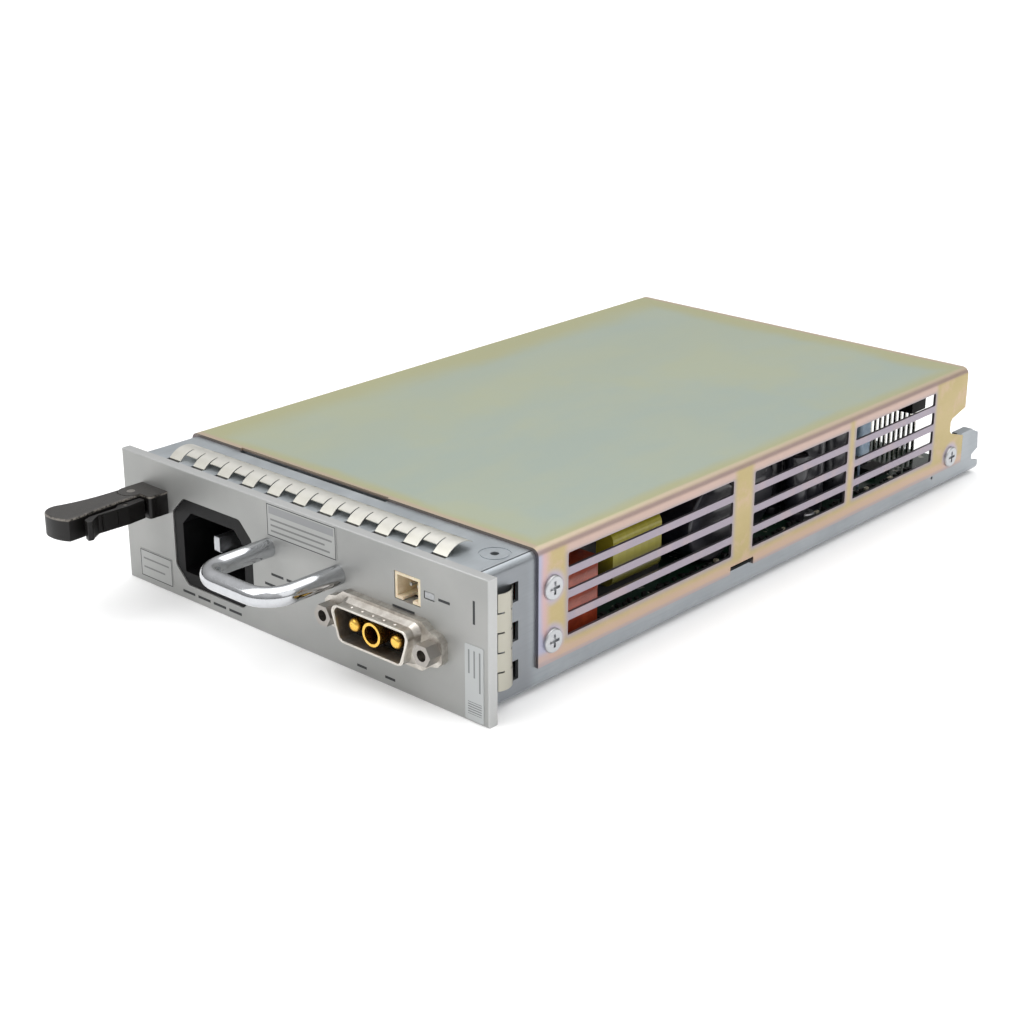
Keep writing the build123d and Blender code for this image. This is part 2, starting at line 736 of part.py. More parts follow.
def ejector_lever():
    grip = slab_xy(lever_outline(), lever_bottom, lever_top)
    rims = grip.edges().group_by(Axis.Z)[0] + grip.edges().group_by(Axis.Z)[-1]
    grip = fillet(rims, 0.5)
    body = grip - rod_z(lever_x, lever_y, 0, panel_height, lever_nose + clear_gap)
    body += rod_z(lever_x, lever_y, claw_low, claw_high, lever_nose - 0.2)
    body += block(lever_x - 2.6, lever_x + 2.6, lever_y - 5, lever_y, claw_low, claw_high)
    root = lever_root_half
    body += block(lever_x - root, lever_x + root, lever_y, claw_rear, claw_low, claw_high)
    claw = outline([(lever_x, claw_front), (claw_tip, claw_front), (claw_tip, claw_front + 0.8),
                    (claw_tip + 1.4, claw_rear), (lever_x, claw_rear)])
    body += slab_xy(claw, claw_low, claw_high)
    ear_low, ear_high = 25.2, 26.8
    body += rod_z(latch_pin_x, latch_pin_y, ear_low, ear_high, 1.2)
    body += block(lever_x + 2, latch_pin_x, latch_pin_y - 1.2, latch_pin_y + 1.2, ear_low, ear_high)
    body -= rod_z(latch_pin_x, latch_pin_y, 0, panel_height, latch_pin_radius + running_gap)
    return body - rod_z(lever_x, lever_y, 0, panel_height, lever_pin_radius + running_gap)


def lever_latch():
    """Release tongue beside the grip, hinged on the lever, with a flared finger tip."""
    x = latch_pin_x
    points = [(x - 1.0, -6.6), (x + 1.0, -6.6), (x + 1.6, -12.0), (x + 1.4, -16.5), (x + 1.2, -21.4)]
    points += [(x + 2.6, -23.6), (x + 3.7, -24.9), (x + 3.4, -26.2), (x + 1.4, -25.6), (x + 0.4, -23.4)]
    points += [(x + 0.3, -15.2), (x - 1.0, -13.6)]
    body = slab_xy(outline(points, 0.25), latch_low, latch_high)
    for y in (-15.3, -20.0):
        body += block(x + 1.0, x + 1.65, y - 0.25, y + 0.25, latch_low + 0.5, latch_high - 0.5)
    body -= block(x - 3, x + 1.25, latch_pin_y - 1.6, latch_pin_y + 1.6, 24.9, 27.1)
    return body - rod_z(latch_pin_x, latch_pin_y, 0, panel_height, latch_pin_radius)


def lever_pin():
    return rod_z(lever_x, lever_y, lever_bottom, lever_top, lever_pin_radius)


def latch_pin():
    return rod_z(latch_pin_x, latch_pin_y, latch_low + 0.2, latch_high - 0.2, latch_pin_radius)


# ---- fasteners of the casing ----
def clinch_studs():
    studs = [rod_y(x, panel_thick - 1.6, wall_back + 5.2, z, stud_radius) for x, z in stud_places]
    return group(studs)


def stud_nuts():
    nuts = []
    for x, z in stud_places:
        seat = wall_back + 2.0 if (x, z) in stud_places[4:] else wall_back
        nut = hexagon(x, seat, seat + nut_height, z, 5.0)
        nuts.append(nut - rod_y(x, seat - 1, seat + 4, z, stud_radius))
    return group(nuts)


def cover_screw(y, z):
    """Cross-recessed flat pan screw on the right side."""
    head = rod_x(cover_right, cover_right + cover_screw_head, y, z, cover_screw_radius)
    head = fillet(head.edges().group_by(Axis.X)[-1], 0.5)
    tip = cover_right + cover_screw_head
    head -= block(tip - 0.6, tip + 1, y - 1.7, y + 1.7, z - 0.38, z + 0.38)
    head -= block(tip - 0.6, tip + 1, y - 0.38, y + 0.38, z - 1.7, z + 1.7)
    return head + rod_x(inner_right - 4, cover_right, y, z, m3_radius)


def cover_screws():
    right = [cover_screw(y, z) for y, z in screw_places]
    left = [mirror(screw, about=Plane.YZ.offset(panel_width / 2)) for screw in right]
    return group(right + left)


def clinch_nuts():
    right = []
    for y, z in screw_places:
        nut = rod_x(inner_right - 2.2, inner_right, y, z, 2.9)
        right.append(nut - rod_x(inner_right - 6, inner_right + 1, y, z, m3_radius))
    left = [mirror(nut, about=Plane.YZ.offset(panel_width / 2)) for nut in right]
    return group(right + left)


def label(x0, x1, z0, z1, radius=0.4):
    return slab_xz(rounded(x0, x1, z0, z1, radius), -label_thick, 0)


# ---- boards and their fixings ----
def insulating_liner():
    body = block(inner_left + 1.4, inner_right - 1.4, board_front, board_rear + 2,
                 tray_floor, tray_floor + liner)
    for x, y in standoff_places:
        body -= rod_z(x, y, 0, 10, 3.4)
    return body


def main_board():
    body = block(inner_left + board_edge_gap, inner_right - board_edge_gap, board_front, board_rear,
                 board_bottom, board_top)
    for x, y in standoff_places:
        body -= rod_z(x, y, 0, 20, m3_radius)
    return body


def board_standoffs():
    posts = []
    for x, y in standoff_places:
        post = slab_xy(Pos(x, y) * RegularPolygon(5.0 / math.sqrt(3), 6), tray_floor, board_bottom)
        posts.append(post - rod_z(x, y, tray_floor + 1, board_bottom + 1, m3_radius))
    return group(posts)


def board_screws():
    screws = []
    for x, y in standoff_places:
        head = rod_z(x, y, board_top, board_top + m3_head, m3_head_radius)
        head = fillet(head.edges().group_by(Axis.Z)[-1], 0.7)
        head -= block(x - 1.5, x + 1.5, y - 0.35, y + 0.35, board_top + 1, board_top + 3)
        head -= block(x - 0.35, x + 0.35, y - 1.5, y + 1.5, board_top + 1, board_top + 3)
        screws.append(head + rod_z(x, y, tray_floor + 2, board_top, m3_radius))
    return group(screws)


# ---- power parts on the board ----
def on_board(x0, x1, y0, y1, height, radius=0.6):
    """A moulded box standing on the board with its upright edges rounded."""
    body = block(x0, x1, y0, y1, board_top, board_top + height)
    return fillet(body.edges().filter_by(Axis.Z), radius)


def can(x, y, radius, height):
    """A small upright capacitor with a rolled rim."""
    body = rod_z(x, y, board_top, board_top + height, radius)
    return fillet(body.edges().group_by(Axis.Z)[-1], 0.6)


def fuse_clips():
    clips = []
    for y in (46.0, 61.0):
        clip = block(14.0, 22.0, y, y + 4.0, board_top, board_top + 7.4)
        clips.append(clip - block(14.6, 21.4, y - 1, y + 5, board_top + 0.6, board_top + 9))
    return group(clips)


def input_fuse():
    return rod_y(18.0, 44.5, 66.5, board_top + 4.0, 3.4)


def filter_choke_core():
    body = block(30, 58, 50, 74, board_top + 1.5, board_top + 23)
    return body - block(36, 52, 56, 68, board_top, board_top + 24)


def filter_choke_coils():
    coils = []
    for y in (50.0, 68.0):
        coil = block(37.5, 50.5, y - 2.2, y + 8.2, board_top + 0.2, board_top + 24.4)
        coil = fillet(coil.edges().filter_by(Axis.X), 1.6)
        coils.append(coil - block(30, 58, y, y + 6, board_top + 1.5, board_top + 23))
    return group(coils)


def film_capacitors():
    return group([on_board(112.0, 125.2, 31.0, 47.5, 18.2), on_board(66.0, 84.0, 46.0, 56.0, 16.0),
                  on_board(30.0, 56.0, 80.0, 90.0, 15.0)])


def bridge_rectifier():
    body = on_board(66.0, 88.0, 82.0, 86.0, 18.0, 0.4)
    return body - rod_y(77.0, 80, 90, board_top + 13.0, 1.8)


def transformer_core():
    """Two E halves that close round the winding, their outer legs above and below it."""
    body = block(103, 117, 49, 82, board_top + 0.8, board_top + 25.2)
    for low in (board_top + 5.4, board_top + 16.8):
        body -= block(102, 118, 55.8, 76, low, low + 3.8)
    return body


def transformer_winding():
    leg_low, leg_high = board_top + 9.2, board_top + 16.8
    body = block(97.5, 122.5, 56.2, 75.6, leg_low - 3.6, leg_high + 3.6)
    body = fillet(body.edges().filter_by(Axis.Y), 2.6)
    return body - block(103, 117, 50, 90, leg_low, leg_high)


def bulk_capacitors():
    cans = []
    for y, right in ((98.6, 122.4), (122.4, 117.0)):
        body = rod_x(88.0, right, y, board_top + 11.2, 11.0)
        cans.append(fillet(body.edges().group_by(Axis.X)[-1], 0.8))
    return group(cans)


def boost_inductor_core():
    ring = rod_z(inductor_x, inductor_y, board_top + 2.4, board_top + 15.4, 14.0)
    return ring - rod_z(inductor_x, inductor_y, board_top, board_top + 20, 8.0)


def boost_inductor_winding():
    """Turns of thick wire round the ring, one closed hoop for each turn."""
    hoops = []
    for index in range(16):
        hoop = block(6.6, 15.4, -0.8, 0.8, board_top + 1.0, board_top + 16.8)
        hoop = fillet(hoop.edges().filter_by(Axis.Y), 0.7)
        hoop -= block(7.9, 14.1, -2, 2, board_top + 2.4, board_top + 15.4)
        hoops.append(Pos(inductor_x, inductor_y, 0) * Rot(0, 0, index * 20.0) * hoop)
    return group(hoops)


def primary_heat_sink():
    """A black anodised plate with short fins down one face."""
    body = block(58.0, 60.5, 100.0, 190.0, board_top + 1.0, board_top + 25.0)
    for index in range(6):
        z = board_top + 3.0 + index * 3.6
        body += block(53.5, 58.5, 100.0, 190.0, z, z + 1.2)
    return body


def power_transistors():
    cases = []
    for y in transistor_places:
        case = block(60.5, 65.3, y, y + 15.6, board_top + 4.0, board_top + 24.0)
        for leg in (-5.4, 0.0, 5.4):
            mid = y + 7.8 + leg
            case += block(62.4, 63.2, mid - 0.7, mid + 0.7, board_top, board_top + 4.5)
        cases.append(case)
    return group(cases)


def transistor_clips():
    clips = []
    for y in transistor_places:
        clip = block(65.3, 66.0, y + 3.0, y + 12.6, board_top + 10.0, board_top + 25.8)
        clip += block(58.0, 66.0, y + 3.0, y + 12.6, board_top + 25.0, board_top + 25.8)
        clips.append(clip)
    return group(clips)


def output_heat_sink():
    body = block(70.0, 98.0, 146.0, 190.0, board_top + 5.0, board_top + 8.0)
    for index in range(8):
        x = 70.0 + index * 3.7
        body += block(x, x + 1.4, 146.0, 190.0, board_top + 7.5, board_top + 24.5)
    return body + block(70.0, 98.0, 160.0, 164.0, board_top, board_top + 5.5)


def output_capacitors():
    places = [(x, y) for y in (150.0, 162.0) for x in (104.5, 116.5)]
    places += [(x, 182.0) for x in (24.0, 36.0, 48.0)]
    return group([can(x, y, 5.0, 21.0) for x, y in places])


def suppression_capacitor():
    body = block(108.0, 121.5, 170.4, 175.8, board_top + 10.4, board_top + 22.4)
    body = fillet(body.edges().filter_by(Axis.Z), 1.0)
    for x in (110.0, 119.5):
        body += rod_z(x, 173.1, board_top, board_top + 11.0, 0.4)
    return body


def control_card():
    return block(101.0, 102.2, 170.0, 192.0, board_top, board_top + 22.0)


def card_chips():
    chips = [block(102.2, 103.6, y, y + 5.0, board_top + z, board_top + z + 4.4) for y, z in card_chip_places]
    chips += [block(x, x + 6.0, y, y + 8.0, board_top, board_top + 2.2) for x, y in board_chip_places]
    return group(chips)


def rear_header():
    return block(96.0, 122.0, 197.0, 204.6, board_top + 17.0, board_top + 25.0)


def rear_header_pins():
    """Long square pins that carry the raised rear header over the board."""
    starts = [97.4 + 1.65 * index for index in range(15)]
    return [block(x, x + 0.7, 200.4, 201.1, board_top, board_top + 17.0) for x in starts]


def backplane_connector():
    body = block(18.0, 86.0, 205.0, 226.0, board_top, board_top + 13.0)
    for x in (24.0, 62.0):
        body -= block(x, x + 18.0, 213.0, 227.0, board_top + 2.2, board_top + 10.8)
    body -= block(45.0, 59.0, 213.0, 227.0, board_top + 2.2, board_top + 10.8)
    for x, width in contact_places():
        body -= block(x, x + width, 204, 214, board_top + 5.8, board_top + 7.2)
    return body


def contact_places():
    power = [(start + 2.0 + 5.6 * index, 2.8) for start in (24.0, 62.0) for index in range(3)]
    signal = [(46.4 + 2.2 * index, 1.0) for index in range(6)]
    return power + signal


def rear_contacts():
    blades = rear_header_pins()
    for x, width in contact_places():
        blades.append(block(x, x + width, 203.4, 223.0, board_top + 5.8, board_top + 7.2)
                      + block(x, x + width, 202.4, 203.6, board_top, board_top + 7.2))
    return group(blades)


# ---- the assembly ----
nodes = {
    "front_panel": front_panel(),
    "chassis_tray": chassis_tray(),
    "top_cover": top_cover(),
    "gasket_strip_top": gasket_strip_top(),
    "gasket_strip_side": gasket_strip_side(),
    "inlet_housing": inlet_housing(),
    "inlet_pins": inlet_pins(),
    "inlet_wires": inlet_wires(),
    "battery_shell": battery_shell(),
    "battery_insulator": battery_insulator(),
    "battery_pins": battery_pins(),
    "battery_centre_contact": battery_centre_contact(),
    "battery_wires": battery_wires(),
    "jackscrews": jackscrews(),
    "jackscrew_nuts": jackscrew_nuts(),
    "sensor_header": sensor_header(),
    "sensor_pins": sensor_pins(),
    "status_light": status_light(),
    "signal_board": signal_board(),
    "signal_wires": signal_wires(),
    "pull_handle": pull_handle(),
    "handle_screws": handle_screws(),
    "lever_base": lever_base(),
    "ejector_lever": ejector_lever(),
    "lever_pin": lever_pin(),
    "lever_latch": lever_latch(),
    "latch_pin": latch_pin(),
    "clinch_studs": clinch_studs(),
    "stud_nuts": stud_nuts(),
    "cover_screws": cover_screws(),
    "clinch_nuts": clinch_nuts(),
    "inlet_label": label(5.0, 18.6, 1.7, 9.7),
    "handle_label": label(58.1, 83.3, 27.5, 36.3),
    "serial_label": label(125.4, 131.2, 0.5, 19.5),
    "insulating_liner": insulating_liner(),
    "main_board": main_board(),
    "board_standoffs": board_standoffs(),
    "board_screws": board_screws(),
    "fuse_clips": fuse_clips(),
    "input_fuse": input_fuse(),
    "filter_choke_core": filter_choke_core(),
    "filter_choke_coils": filter_choke_coils(),
    "film_capacitors": film_capacitors(),
    "bridge_rectifier": bridge_rectifier(),
    "transformer_core": transformer_core(),
    "transformer_winding": transformer_winding(),
    "bulk_capacitors": bulk_capacitors(),
    "boost_inductor_core": boost_inductor_core(),
    "boost_inductor_winding": boost_inductor_winding(),
    "primary_heat_sink": primary_heat_sink(),
    "power_transistors": power_transistors(),
    "transistor_clips": transistor_clips(),
    "output_heat_sink": output_heat_sink(),
    "output_capacitors": output_capacitors(),
    "suppression_capacitor": suppression_capacitor(),
    "control_card": control_card(),
    "board_chips": card_chips(),
    "rear_header": rear_header(),
    "backplane_connector": backplane_connector(),
    "rear_contacts": rear_contacts(),
}
os.makedirs("parts", exist_ok=True)
front_most = nodes["ejector_lever"].bounding_box().min.Y
origin = Location((-panel_width / 2, -(front_most + tray_length) / 2, 0))
for name, solid in nodes.items():
    export_step(origin * solid, f"parts/{name}.step")
print("origin shift", origin.position, "nodes", len(nodes))
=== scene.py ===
import json
import math
import bpy
import numpy as np
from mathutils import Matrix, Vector


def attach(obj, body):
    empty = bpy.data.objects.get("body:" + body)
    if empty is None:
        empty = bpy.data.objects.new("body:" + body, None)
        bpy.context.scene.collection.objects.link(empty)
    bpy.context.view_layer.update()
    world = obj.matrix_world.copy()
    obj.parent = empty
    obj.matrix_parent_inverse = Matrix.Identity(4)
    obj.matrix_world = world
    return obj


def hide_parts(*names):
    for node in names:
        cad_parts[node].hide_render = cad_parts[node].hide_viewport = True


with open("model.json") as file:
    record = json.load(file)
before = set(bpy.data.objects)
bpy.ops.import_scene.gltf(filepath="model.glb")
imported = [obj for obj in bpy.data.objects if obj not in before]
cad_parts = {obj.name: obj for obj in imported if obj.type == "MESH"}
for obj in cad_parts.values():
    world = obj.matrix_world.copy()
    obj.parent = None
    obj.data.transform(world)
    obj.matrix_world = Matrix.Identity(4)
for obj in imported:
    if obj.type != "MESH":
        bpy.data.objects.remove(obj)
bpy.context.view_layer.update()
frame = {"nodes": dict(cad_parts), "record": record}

# Working figures are millimetres from the panel's left edge, front face and bottom edge.
MM = 0.001
ORIGIN = np.array([66.4, 98.5247, 0.0])
PANEL_WIDTH, PANEL_HEIGHT = 132.8, 36.7
BOARD_TOP = 8.1

# The folded cover: its edges, the ends of its three vent groups, and (y, z) of its right-hand screws.
COVER_LEFT, COVER_RIGHT = 3.6, 129.2
COVER_FRONT, COVER_REAR = 20.8, 216.0
VENT_GROUPS = ((31.4, 97.0), (106.4, 150.9), (154.9, 197.6))
SCREWS = ((25.8, 25.9), (25.8, 12.3), (208.8, 10.3))

# The pull handle: its two legs, its height, how far it stands out, its rod and the rod's bend.
HANDLE_X, HANDLE_Z, HANDLE_REACH = (58.2, 83.6), 24.2, 22.2
HANDLE_RADIUS, HANDLE_BEND = 2.5, 7.0

# The battery shell: its centre, its mouth's half widths and half height, its corners and its rolled bead.
BATTERY_X, BATTERY_Z = 100.3, 15.3
MOUTH_HALF_TOP, MOUTH_HALF_LOW, MOUTH_HALF_HIGH, MOUTH_CORNER = 12.55, 10.65, 4.4, 1.75
RIM_Y, RIM_RADIUS = -6.05, 0.3

# Standing capacitors: their centres and, for each, its radius and height.
CAN_X, CAN_Y, CAN_RADIUS = (104.0, 112.0, 120.0), 139.5, 3.4
CAN_HEIGHTS = (18.0, 16.0, 19.0)

# Surface-mounted parts: left, right, front, rear and pitch of each lane, and the share that are pale.
PART_LANES = (
    (123.0, 124.2, 50.0, 196.0, 2.6),
    (68.0, 98.0, 60.0, 79.0, 3.4),
    (98.0, 123.0, 84.0, 86.4, 3.0),
    (12.0, 28.0, 74.0, 94.0, 3.2),
    (12.0, 50.0, 132.0, 172.0, 4.2),
)
PALE_SHARE = 0.14

# Plain dashes on the panel: the axis they run along and the one they lie across, start, end,
# low and high edge, and step.
PANEL_DASHES = (
    ("x", "z", 22.6, 47.6, 1.9, 2.65, 6.25),
    ("x", "z", 58.8, 70.2, 16.9, 17.6, 5.7),
    ("x", "z", 56.2, 71.6, 13.8, 14.5, 5.2),
    ("x", "z", 102.0, 111.2, 21.4, 22.1, 9.2),
    ("x", "z", 117.1, 121.7, 27.2, 27.9, 4.6),
    ("x", "z", 89.2, 93.4, 1.8, 2.5, 4.2),
    ("x", "z", 98.9, 103.2, 1.8, 2.5, 4.3),
    ("z", "x", 24.7, 32.0, 127.9, 128.6, 7.3),
)

# Blank films: left, right, low and high edge of the borders, the grey band and the striped block.
BORDERS = ((5.15, 18.45, 1.85, 9.55), (58.25, 83.15, 27.65, 36.15))
BORDER_LINE = 0.3
GREY_BAND = (59.0, 82.4, 33.6, 35.6)
STRIPED_BLOCK = (126.3, 130.6, 2.0, 5.2)
# Ruled lines: start, end and low edge of the level ones; foot and left edge of the upright ones.
LEVEL_RULES = (
    (59.6, 81.8, 31.9),
    (59.6, 79.2, 30.4),
    (59.6, 81.0, 28.9),
    (6.4, 17.2, 6.9),
    (6.4, 15.4, 4.4),
)
UPRIGHT_RULES = ((8.0, 129.8), (11.4, 128.1), (12.2, 126.4))
UPRIGHT_RULE_TOP = 18.2
RULE_LINE = 0.5
# The film to the right of this is a little brighter.
SERIAL_FILM_LEFT = 120.0

# The studio, in metres and degrees: room light on the walls and overhead, floor, camera.
WALL_LIGHT, CEILING_LIGHT = 0.34, 0.95
CEILING_FROM = 0.7
FLOOR_REACH = 6.0
FLOOR_COLOUR = (0.93, 0.93, 0.93, 1.0)
FLOOR_GLOW_NEAR, FLOOR_GLOW_FAR = (0.1, 0.1, 0.1, 1.0), (0.9, 0.9, 0.9, 1.0)
CAMERA_PLACE = (0.3288, -0.3795, 0.2021)
CAMERA_DROP, CAMERA_TURN = 21.19, 42.27
LENS, SENSOR = 66.58, 36.0

# Sockets of a colour Mix node, which has others of the same names for numbers and vectors.
MIX_FACTOR, MIX_FIRST, MIX_SECOND, MIX_RESULT = 0, 6, 7, 2


def tone(red, green, blue):
    """Screen values from 0 to 255 as a linear colour, by the standard sRGB curve."""
    screen = np.array([red, green, blue]) / 255
    linear = np.where(screen <= 0.04045, screen / 12.92, ((screen + 0.055) / 1.055) ** 2.4)
    return (*linear, 1.0)


# ---- shader maths ----
class Value:
    """A shader socket that Python's operators work on; each one adds a Math node."""

    def __init__(self, finish, socket):
        self.finish = finish
        self.socket = socket

    def math(self, operation, *others):
        return self.finish.node("ShaderNodeMath", {"operation": operation}, [self, *others])

    def __add__(self, other):
        return self.math("ADD", other)

    def __sub__(self, other):
        return self.math("SUBTRACT", other)

    def __mul__(self, other):
        return self.math("MULTIPLY", other)

    def __rsub__(self, other):
        return self.finish.node("ShaderNodeMath", {"operation": "SUBTRACT"}, [other, self])

    def __abs__(self):
        return self.math("ABSOLUTE")

    def __gt__(self, other):
        return self.math("GREATER_THAN", other)

    def __lt__(self, other):
        return self.math("LESS_THAN", other)

    __radd__ = __add__
    __rmul__ = __mul__

    def least(self, other):
        return self.math("MINIMUM", other)

    def most(self, other):
        return self.math("MAXIMUM", other)

    def rise(self, low, high):
        """0 below low, 1 above high and a smooth step between them."""
        settings = {"interpolation_type": "SMOOTHSTEP"}
        return self.finish.node("ShaderNodeMapRange", settings, {0: self, 1: low, 2: high})

    def within(self, low, high, soft=0.03):
        """1 between low and high, with edges soft on either side."""
        return self.rise(low - soft, low + soft) * (1 - self.rise(high - soft, high + soft))


class Finish:
    """A material: a Principled shader and the nodes that vary it over the surface."""

    def __init__(self, name, **constants):
        self.material = bpy.data.materials.new(name)
        self.material.use_nodes = True
        self.tree = self.material.node_tree
        self.shader = self.tree.nodes["Principled BSDF"]
        for socket, value in constants.items():
            self.shader.inputs[socket.replace("_", " ")].default_value = value
        where = self.node("ShaderNodeTexCoord", output="Object")
        scale_and_shift = [where, (1 / MM,) * 3, tuple(ORIGIN)]
        self.place = self.node("ShaderNodeVectorMath", {"operation": "MULTIPLY_ADD"}, scale_and_shift)
        parts = self.node("ShaderNodeSeparateXYZ", None, [self.place]).socket.node.outputs
        self.x, self.y, self.z = (Value(self, socket) for socket in parts)

    def node(self, kind, settings=None, inputs=(), output=0):
        """Adds a node of this kind, with its settings, then the values or links of its sockets."""
        made = self.tree.nodes.new(kind)
        for key, value in (settings or {}).items():
            setattr(made, key, value)
        for key, value in inputs.items() if isinstance(inputs, dict) else enumerate(inputs):
            if isinstance(value, Value):
                self.tree.links.new(value.socket, made.inputs[key])
            else:
                made.inputs[key].default_value = value
        return Value(self, made.outputs[output])

    def set(self, **varying):
        """Links what changes over the surface to the shader's sockets."""
        for socket, value in varying.items():
            self.tree.links.new(value.socket, self.shader.inputs[socket.replace("_", " ")])
        return self

    def stretched(self, stretch):
        """The place in millimetres, each axis multiplied by its own share."""
        return self.node("ShaderNodeVectorMath", {"operation": "MULTIPLY"}, [self.place, stretch])

    def noise(self, scale, detail=3.0, roughness=0.5, stretch=None):
        """Cloudy noise from 0 to 1, scale features to the millimetre."""
        vector = self.stretched(stretch) if stretch else self.place
        return self.node("ShaderNodeTexNoise", None,
                         {"Vector": vector, "Scale": scale, "Detail": detail, "Roughness": roughness})

    def cells(self, scale, stretch=None):
        """A random value from 0 to 1 for each irregular cell."""
        vector = self.stretched(stretch) if stretch else self.place
        colour = self.node("ShaderNodeTexVoronoi", None, {"Vector": vector, "Scale": scale}, "Color")
        return self.node("ShaderNodeSeparateXYZ", None, [colour])

    def mix(self, factor, first, second):
        """The first colour where the factor is 0, the second where it is 1."""
        inputs = {MIX_FACTOR: factor, MIX_FIRST: first, MIX_SECOND: second}
        return self.node("ShaderNodeMix", {"data_type": "RGBA"}, inputs, MIX_RESULT)

    def bump(self, height, depth, strength=1.0):
        """A surface normal tilted by a height from 0 to 1, worth depth millimetres."""
        inputs = {"Strength": strength, "Distance": depth * MM, "Height": height}
        return self.node("ShaderNodeBump", None, inputs)

    def between(self, first, second, amount):
        """A colour between two screen tones."""
        return self.mix(amount, tone(*first), tone(*second))

    def rect(self, x0, x1, z0, z1, soft=0.03):
        """1 inside an upright rectangle on a face that looks to the front."""
        return self.x.within(x0, x1, soft) * self.z.within(z0, z1, soft)

    def frame_line(self, x0, x1, z0, z1, width):
        """1 on a border just inside that rectangle: the rectangle less a smaller one."""
        inner = self.rect(x0 + width, x1 - width, z0 + width, z1 - width)
        return self.rect(x0, x1, z0, z1) * (1 - inner)

    def bars(self, along, across, start, end, low, high, step):
        """A plain dashed rule: solid bars, step millimetres apart, each four fifths of a step long."""
        dash = (along * (1 / step)).math("FRACT") < 0.8
        return along.within(start, end) * across.within(low, high) * dash


def plain_variation(name, colour, other, scale, rough, spread, grain, **constants):
    """A finish whose colour drifts between two tones, its gloss with it, over a fine grain."""
    finish = Finish(name, **constants)
    drift = finish.noise(scale, 5.0, 0.6)
    fine = finish.noise(3.0, 3.0, 0.6)
    amount = drift.rise(0.35, 0.65) * 0.75 + fine * 0.25
    roughness = rough + (drift - 0.5) * spread + (fine - 0.5) * spread
    return finish.set(Base_Color=finish.between(colour, other, amount), Roughness=roughness,
                      Normal=finish.bump(fine, grain))


# ---- finishes ----
def panel_alloy():
    """Bead-blasted, clear-anodised plate with a painted highlight along its rim and plain dark dashes."""
    finish = Finish("panel_alloy", Metallic=0.55)
    grain = finish.noise(9.0, 4.0, 0.7)
    drift = finish.noise(0.05, 4.0, 0.5)
    shade = finish.between((154, 155, 153), (164, 164, 162), drift.rise(0.3, 0.7))
    speckle = finish.mix(grain.rise(0.35, 0.75) * 0.3, shade, tone(188, 189, 187))
    # Painted highlight: within half a millimetre of the plate's edges the colour is painted lighter and the
    # surface glossier.
    edge_x = finish.x.least(PANEL_WIDTH - finish.x)
    edge_z = finish.z.least(PANEL_HEIGHT - finish.z)
    rim = 1 - edge_x.least(edge_z).rise(0.1, 0.45)
    metal = finish.mix(rim * 0.6, speckle, tone(194, 195, 195))
    ink = None
    axes = {"x": finish.x, "z": finish.z}
    for along, across, start, end, low, high, step in PANEL_DASHES:
        dash = finish.bars(axes[along] - start, axes[across], 0.0, end - start, low, high, step)
        ink = dash if ink is None else ink.most(dash)
    ink = ink * (finish.y < 0.05)
    return finish.set(Base_Color=finish.mix(ink * 0.95, metal, tone(52, 54, 56)),
                      Roughness=0.4 + grain * 0.12 + ink * 0.2 - rim * 0.12,
                      Normal=finish.bump(grain, 0.012, 0.6))


def zinc_sheet():
    """Galvanised sheet: faint spangle, rolling streaks along its length and handling marks; a painted
    highlight on the top face and lower folds, and painted shade on the walls.
    """
    finish = Finish("zinc_sheet", Metallic=0.85)
    spangle = finish.cells(0.28)
    streak = finish.noise(1.6, 4.0, 0.6, (1.0, 0.03, 1.0))
    cloud = finish.noise(0.06, 5.0, 0.6)
    rub = finish.noise(0.5, 8.0, 0.75, (1.0, 0.2, 1.0)).rise(0.62, 0.72)
    base = finish.between((160, 166, 171), (176, 181, 185), cloud.rise(0.3, 0.7))
    base = finish.mix(spangle * 0.14, base, tone(198, 203, 208))
    base = finish.mix(streak.rise(0.45, 0.75) * 0.25, base, tone(136, 141, 147))
    base = finish.mix(rub * 0.2, base, tone(206, 208, 210))
    # Painted highlight: low down, within a few millimetres of the panel's side edges, the folds are painted
    # lighter.
    fold_x = finish.x.least(PANEL_WIDTH - finish.x).rise(6.4, 4.6)
    low = finish.z.rise(3.2, 1.0)
    base = finish.mix(fold_x * low * 0.3, base, tone(206, 209, 212))
    # Painted light: the walls below the top are painted darker as shade, and the top face is painted lighter
    # as a highlight.
    upper = finish.z.rise(35.5, 35.9)
    base = finish.mix((1 - upper) * 0.28, base, tone(128, 133, 138))
    base = finish.mix(upper * 0.35, base, tone(188, 195, 199))
    side = finish.x.most(PANEL_WIDTH - finish.x).rise(128.1, 128.3)
    shaded = side * (1 - finish.y.rise(17.0, 22.0))
    base = finish.mix(shaded * 0.75, base, tone(128, 131, 135))
    return finish.set(Base_Color=base, Roughness=0.3 + cloud * 0.12 + spangle * 0.06 - rub * 0.06,
                      Normal=finish.bump(streak * 0.6 + spangle * 0.4, 0.02, 0.5))


